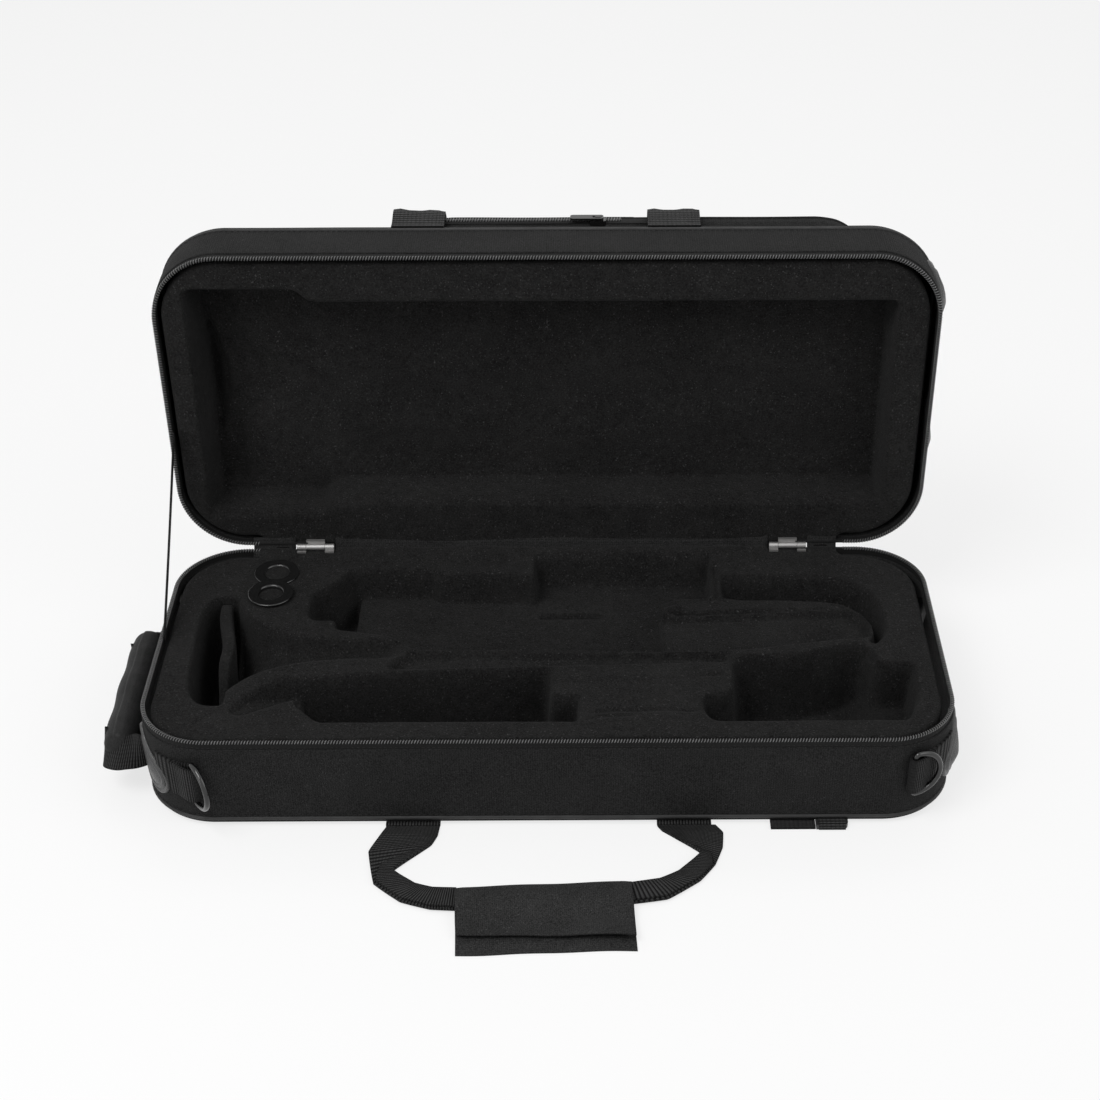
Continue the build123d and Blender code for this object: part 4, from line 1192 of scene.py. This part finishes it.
pocket_low, pocket_high = -106.0, 230.0
pocket_front, pocket_back = -110.0, 92.0
pocket_thickness = 12.0
pocket_rim = Rim(pocket_high - pocket_low, pocket_back - pocket_front, 26.0,
                 ((pocket_low + pocket_high) / 2, (pocket_front + pocket_back) / 2))


def pocket_body():
    """The pocket's cloth: its wall, the bead at its edge and its full front."""
    top = lid_top + pocket_thickness
    profile = [(0.4, lid_top - 13.0), (0.0, lid_top - 2), (-0.3, lid_top + 4), (0.0, top - 3.4),
               (0.3, top - 2.6), (-0.7, top - 1.8), (-0.9, top - 0.9), (-0.3, top - 0.1),
               (0.8, top + 0.1), (1.6, top - 0.5), (3.0, top - 0.5), (8, top + 0.1), (20, top + 0.6),
               (45, top + 0.9), (75, top + 1.1), (pocket_rim.half_y, top + 1.1)]

    def waves(s, height):
        front_side = smooth((160 - np.minimum(s, pocket_rim.total - s)) / 30)
        full = front_side * smooth((height - lid_top + 6) / 12)
        return 0.45 * ripple(s, height * 3, 80, 7) + 3.6 * full

    bm = pocket_rim.ring(profile, 360, bulge=waves)
    for vert in bm.verts:
        full = smooth((pocket_front + 26 - vert.co.y) / 26) * smooth((vert.co.z - lid_top) / 9)
        vert.co.z += 2.2 * float(full)
    return level_threads(bm)


piece("pocket_of_lid", pocket_body(), cloth, "lid", ["lid_pocket"], lid_open)
s = np.linspace(0, pocket_rim.total, 900)
x, y, nx, ny = pocket_rim.at(s, 2.6)
sewn = stitches(np.column_stack([x, y, 0 * s + lid_top + pocket_thickness - 0.35]),
                np.column_stack([0 * s, 0 * s, 1 + 0 * s]), 2.6, 1.3)
piece("pocket_seam", sewn, thread, "lid", (), lid_open)


def pocket_zip():
    """The pocket's closed zip: two rows of coil between its tapes."""
    low, high = -74.0, 53.0
    height = lid_top + 8.5
    x = np.linspace(low, high, 200)
    rows = [
        coil_along(x, 0 * x + pocket_front - 4.8, 0 * x, 0 * x - 1, 0 * x + height + side * 1.2, 0.8, 1.2)
        for side in (-1, 1)
    ]
    return joined(*rows)


piece("pocket_coil", pocket_zip(), coil, "lid", ["pocket_zip_teeth"], lid_open)
tape = surface(
    lambda u, v: np.column_stack([
        -80 + 160 * u, pocket_front - 3.9 - 0.5 * np.sin(pi * v), lid_top + 8 + (v - 0.5) * 9,
    ]), 70, 8, (160, 9),
)
piece("pocket_tape", tape, tape_cloth, "lid", (), lid_open)


def lid_anchor(x, skew):
    """Webbing from the lid's edge in a loose loop over the pocket's front to the handle's hinge."""
    y = front
    path = [(x, y - 1.2, lid_top - 14), (x, y - 0.8, lid_top - 8), (x, y - 1.6, lid_top - 2),
            (x, y - 2.6, lid_top + 4), (x, y - 2.8, lid_top + 10), (x, y - 1.4, lid_top + 14.5),
            (x, y + 2.2, lid_top + 17.5), (x, y + 6.5, lid_top + 19), (x, y + 9.5, lid_top + 19)]
    across = [(1, 0, 0), (1, 0, 0), (1, skew, 0), (1, skew, -skew), (1, 0.5 * skew, -skew), (1, 0, 0)]
    bm = ribbon(path, across, handle_width, webbing, 50)
    for vert in bm.verts:
        loose = float(smooth((vert.co.z - lid_top - 10) / 5) * smooth((y + 6 - vert.co.y) / 6))
        vert.co.y += loose * (0.9 * sin(0.21 * (vert.co.x - x) + 2) + 0.7 * sin(0.47 * (vert.co.x - x)))
        vert.co.y += 1.6 * loose * float(smooth((abs(vert.co.x - x) - 12) / 8))
    return bm


anchors = piece(
    "anchors_of_lid_handle", joined(lid_anchor(-92.5, 0.03), lid_anchor(90.5, 0.0)), strap, None,
    ["lid_handle_anchor"], lid_open,
)
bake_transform(anchors)


# Hinge line

def open_point(y, z):
    return lid_open @ Vector((0, y, z))


def hinge_cloth(low, high):
    """Cloth between the base's rim and the lid's, slack over the hinge line."""
    far = open_point(depth / 2 - 6, lid_lining_face + 1)
    path = [(depth / 2 - 7, lining_top - 2), (depth / 2 - 3, lining_top + 2.2),
            (hinge_y - 2.5, hinge_z - 2.0), (hinge_y + 0.5, hinge_z - 0.6),
            (hinge_y + 1.5, hinge_z + 2.2), (far.y - 1, far.z)]

    def place(u, v):
        y, z = spline(path, v).T
        fold = 0.5 * np.sin(u * (high - low) / 9) * np.sin(v * pi)
        return np.column_stack([low + u * (high - low), y + fold, z + 0.4 * fold])

    return surface(place, int((high - low) / 4), 14, (high - low, 16))


hinge_x, hinge_half = 180.0, 15.0
spans = (
    (-227, -hinge_x - hinge_half), (hinge_half - hinge_x, hinge_x - hinge_half),
    (hinge_x + hinge_half, 217),
)
inner_cloth = piece(
    "cloth_over_hinge_line", joined(*(hinge_cloth(*span) for span in spans)), cloth, None,
)
thickened(inner_cloth, inner_cloth_thickness)
hinge_y * MM
(hinge_z - 2) * MM
hinge_y * MM
(hinge_z + 2.5) * MM
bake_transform(inner_cloth)


def back_binding():
    """Cloth down the outside of the hinge line, folded in where the lid stands open."""
    edge = open_point(depth / 2, lid_foot + 8)
    half = 186.0
    path = [(depth / 2 + 0.7, base_edge - 12), (depth / 2 + 0.8, base_edge - 4),
            (depth / 2 + 1.6, base_edge + 1), (hinge_y + 4.5, hinge_z - 3.6),
            (hinge_y + 6.4, hinge_z - 1.2), (edge.y - 4, edge.z - 0.9), (edge.y, edge.z - 0.8)]

    def place(u, v):
        y, z = spline(path, v).T
        out = 0.3 + 0.12 * ripple(u * 2 * half, 20 * v, 40, 2)
        return np.column_stack([(2 * u - 1) * half, y + out, z - out])

    return surface(place, 160, 20, (2 * half, 34))


binding = piece("binding_behind_hinges", back_binding(), cloth, None,
                ["hinge_binding"])
thickened(binding, inner_cloth_thickness)
(hinge_y + 1) * MM
(hinge_z - 5) * MM
(hinge_y + 8) * MM
hinge_z * MM
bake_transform(binding)


# Lid stay

stay_low, stay_high = box_mm("lid_stay")


def stay():
    """The ribbon that stops the lid, with a little slack."""
    foot = Vector(((stay_low.x + stay_high.x) / 2, 2.0, base_rim - 1.75))
    rise = open_point(hinge_y - 96, lid_rim + 1.75) - foot
    rise.x = 0
    line = [foot + rise * t - Vector((0, 0, 1.5 * sin(pi * t))) for t in np.linspace(0, 1, 7)]
    slope = rise.normalized()
    return ribbon(line, [(0.14, -slope.z, slope.y)] * 2, stay_width, stay_thickness, 50)


ribbon_stay = piece("stay_ribbon", stay(), strap, None, ["lid_stay"])
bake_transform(ribbon_stay)


# Mouthpiece holders

def holder(node):
    """A socket with a flat rim, turned from its section."""
    low, high = box_mm(node)
    top = high.z
    profile = [(9.0, low.z), (9.0, top - 1.6), (9.3, top - 0.6), (10.2, top - 0.1), (11.6, top - 0.25),
               (14.6, top - 0.35), (15.8, top), (16.6, top - 0.2), (17.0, top - 0.8),
               (16.7, top - 1.4), (11.5, top - 1.5), (10.8, top - 2.2), (10.8, low.z)]
    bm = bmesh.new()
    verts = [bm.verts.new((r, 0, z)) for r, z in profile]
    edges = [bm.edges.new(pair) for pair in zip(verts, verts[1:])]
    bmesh.ops.spin(
        bm, geom=verts + edges, axis=(0, 0, 1), cent=(0, 0, 0), angle=2 * pi, steps=72, use_merge=True,
    )
    bmesh.ops.recalc_face_normals(bm, faces=bm.faces)
    bmesh.ops.translate(bm, verts=bm.verts, vec=((low.x + high.x) / 2, (low.y + high.y) / 2, 0))
    bm.loops.layers.uv.new("UVMap")
    return bm


for back_name in ("back", "front"):
    node = f"mouthpiece_holder_{back_name}"
    piece(f"ring_of_{node}", holder(node), gloss, "base", [node])


# Underside strap

def under_strap():
    low, high = box_mm("underside_strap")
    x, z = (low.x + high.x) / 2, (low.z + high.z) / 2
    path = [(x, high.y, z), (x, low.y + 12, z), (x, low.y + 5, z), (x, low.y, z + 0.3)]
    return ribbon(path, [(1, 0, 0)] * 2, high.x - low.x, high.z - low.z, 24)


piece("strap_under_base", under_strap(), strap, "base", ["underside_strap"])


def buckle_strap():
    """The strap's end, looped over the ladder lock's front bar."""
    low, high = box_mm("strap_buckle")
    x = (low.x + high.x) / 2
    path = [(x, front + 2.5, high.z - 0.4), (x, low.y + 4, high.z + 0.7), (x, low.y + 0.5, high.z + 0.3),
            (x, low.y - 0.9, high.z - 1.4), (x, low.y - 0.8, high.z - 3.2)]
    return ribbon(path, [(1, 0, 0)] * 2, high.x - low.x - 3.5, 1.0, 30)


piece("strap_over_buckle", buckle_strap(), strap, "base")


# Finishes of the nodes that keep their CAD shape
hinge_parts = [f"{part}_{side}" for part in ("base_leaf", "lid_leaf", "pin") for side in ("left", "right")]
kept_nodes = (
    (cord_cloth, ["base_piping", "lid_piping"]),
    (strap_flat, ["base_handle_anchor"]),
    (satin, ["strap_buckle"]),
    (painted, ["strap_ring_left", "strap_ring_right"]),
    (slider_metal, ["pocket_slider", "pocket_pull", "zip_slider_left", "zip_slider_right",
                    "zip_pull_left", "zip_pull_right"]),
    (steel, [f"hinge_{part}" for part in (*hinge_parts, "rivets_base", "rivets_lid")]),
)
for finish, nodes in kept_nodes:
    for node in nodes:
        shown = frame["nodes"][node]
        shown.data.materials.clear()
        shown.data.materials.append(finish)


# Stage, lights and camera

def stage():
    bm = bmesh.new()
    bmesh.ops.create_grid(bm, x_segments=1, y_segments=1, size=4000)
    bm.loops.layers.uv.new("UVMap")
    paper = Finish(
        "floor_paper", False, Base_Color=(0.9, 0.9, 0.9, 1), Roughness=0.9, Specular_IOR_Level=0.1,
    )
    lit = Value(paper, paper.shader.outputs[0])
    glow = paper.node("ShaderNodeEmission")
    mix = paper.node("ShaderNodeMixShader", {0: paper.seen() * 0.72, 1: lit, 2: glow})
    paper.put(paper.tree.nodes["Material Output"].inputs[0], mix)
    floor = piece("floor", bm, paper.material)


def world():
    sky = bpy.data.worlds.new("studio")
    bpy.context.scene.world = sky
    nodes = Nodes(sky)
    soft, white = (
        nodes.node("ShaderNodeBackground", {"Color": (1, 1, 1, 1), "Strength": strength})
        for strength in (0.44, 1.0)
    )
    mix = nodes.node("ShaderNodeMixShader", {0: nodes.seen(), 1: soft, 2: white})
    nodes.put(nodes.tree.nodes["World Output"].inputs[0], mix)


def lamp(name, at, target, size, power):
    light = bpy.data.lights.new(name, "AREA")
    light.shape = "RECTANGLE"
    light.size, light.size_y = size
    light.energy = power
    made = bpy.data.objects.new(name, light)
    made.location = at
    made.rotation_euler = (Vector(target) - Vector(at)).to_track_quat("-Z", "Y").to_euler()
    bpy.context.scene.collection.objects.link(made)


def camera():
    """The photograph's camera, from a fit to the case's corners."""
    focal_pixels, image = 1946.76, 1100
    centre_right, centre_down = 50.08, 145.34
    pitch, yaw, roll = radians(37.939), radians(0.279), radians(-0.08)
    data = bpy.data.cameras.new("camera")
    data.sensor_width = 36.0
    data.lens = focal_pixels / image * data.sensor_width
    data.shift_x = -centre_right / image
    data.shift_y = centre_down / image
    made = bpy.data.objects.new("camera", data)
    made.location = (0.03073, -1.1245, 0.89759)
    turns = ((-yaw, "Z"), (pi / 2 - pitch, "X"), (roll, "Z"))
    first, second, third = (Matrix.Rotation(angle, 4, axis) for angle, axis in turns)
    made.rotation_euler = (first @ second @ third).to_euler()
    bpy.context.scene.collection.objects.link(made)
    bpy.context.scene.camera = made


stage()
world()
lamp("key", (-0.9, -0.9, 2.0), (0, 0.05, 0.1), (1.2, 1.0), 25)
lamp("fill", (1.5, -0.7, 1.3), (0, 0, 0.1), (1.4, 1.4), 9)
lamp("back", (0.1, 1.5, 1.8), (0, 0.1, 0.2), (1.8, 0.9), 6)
lamp("left", (-1.5, -1.1, 0.45), (-0.25, -0.1, 0.05), (0.5, 0.6), 2.4)
camera()
bpy.context.scene.view_settings.view_transform = "Standard"
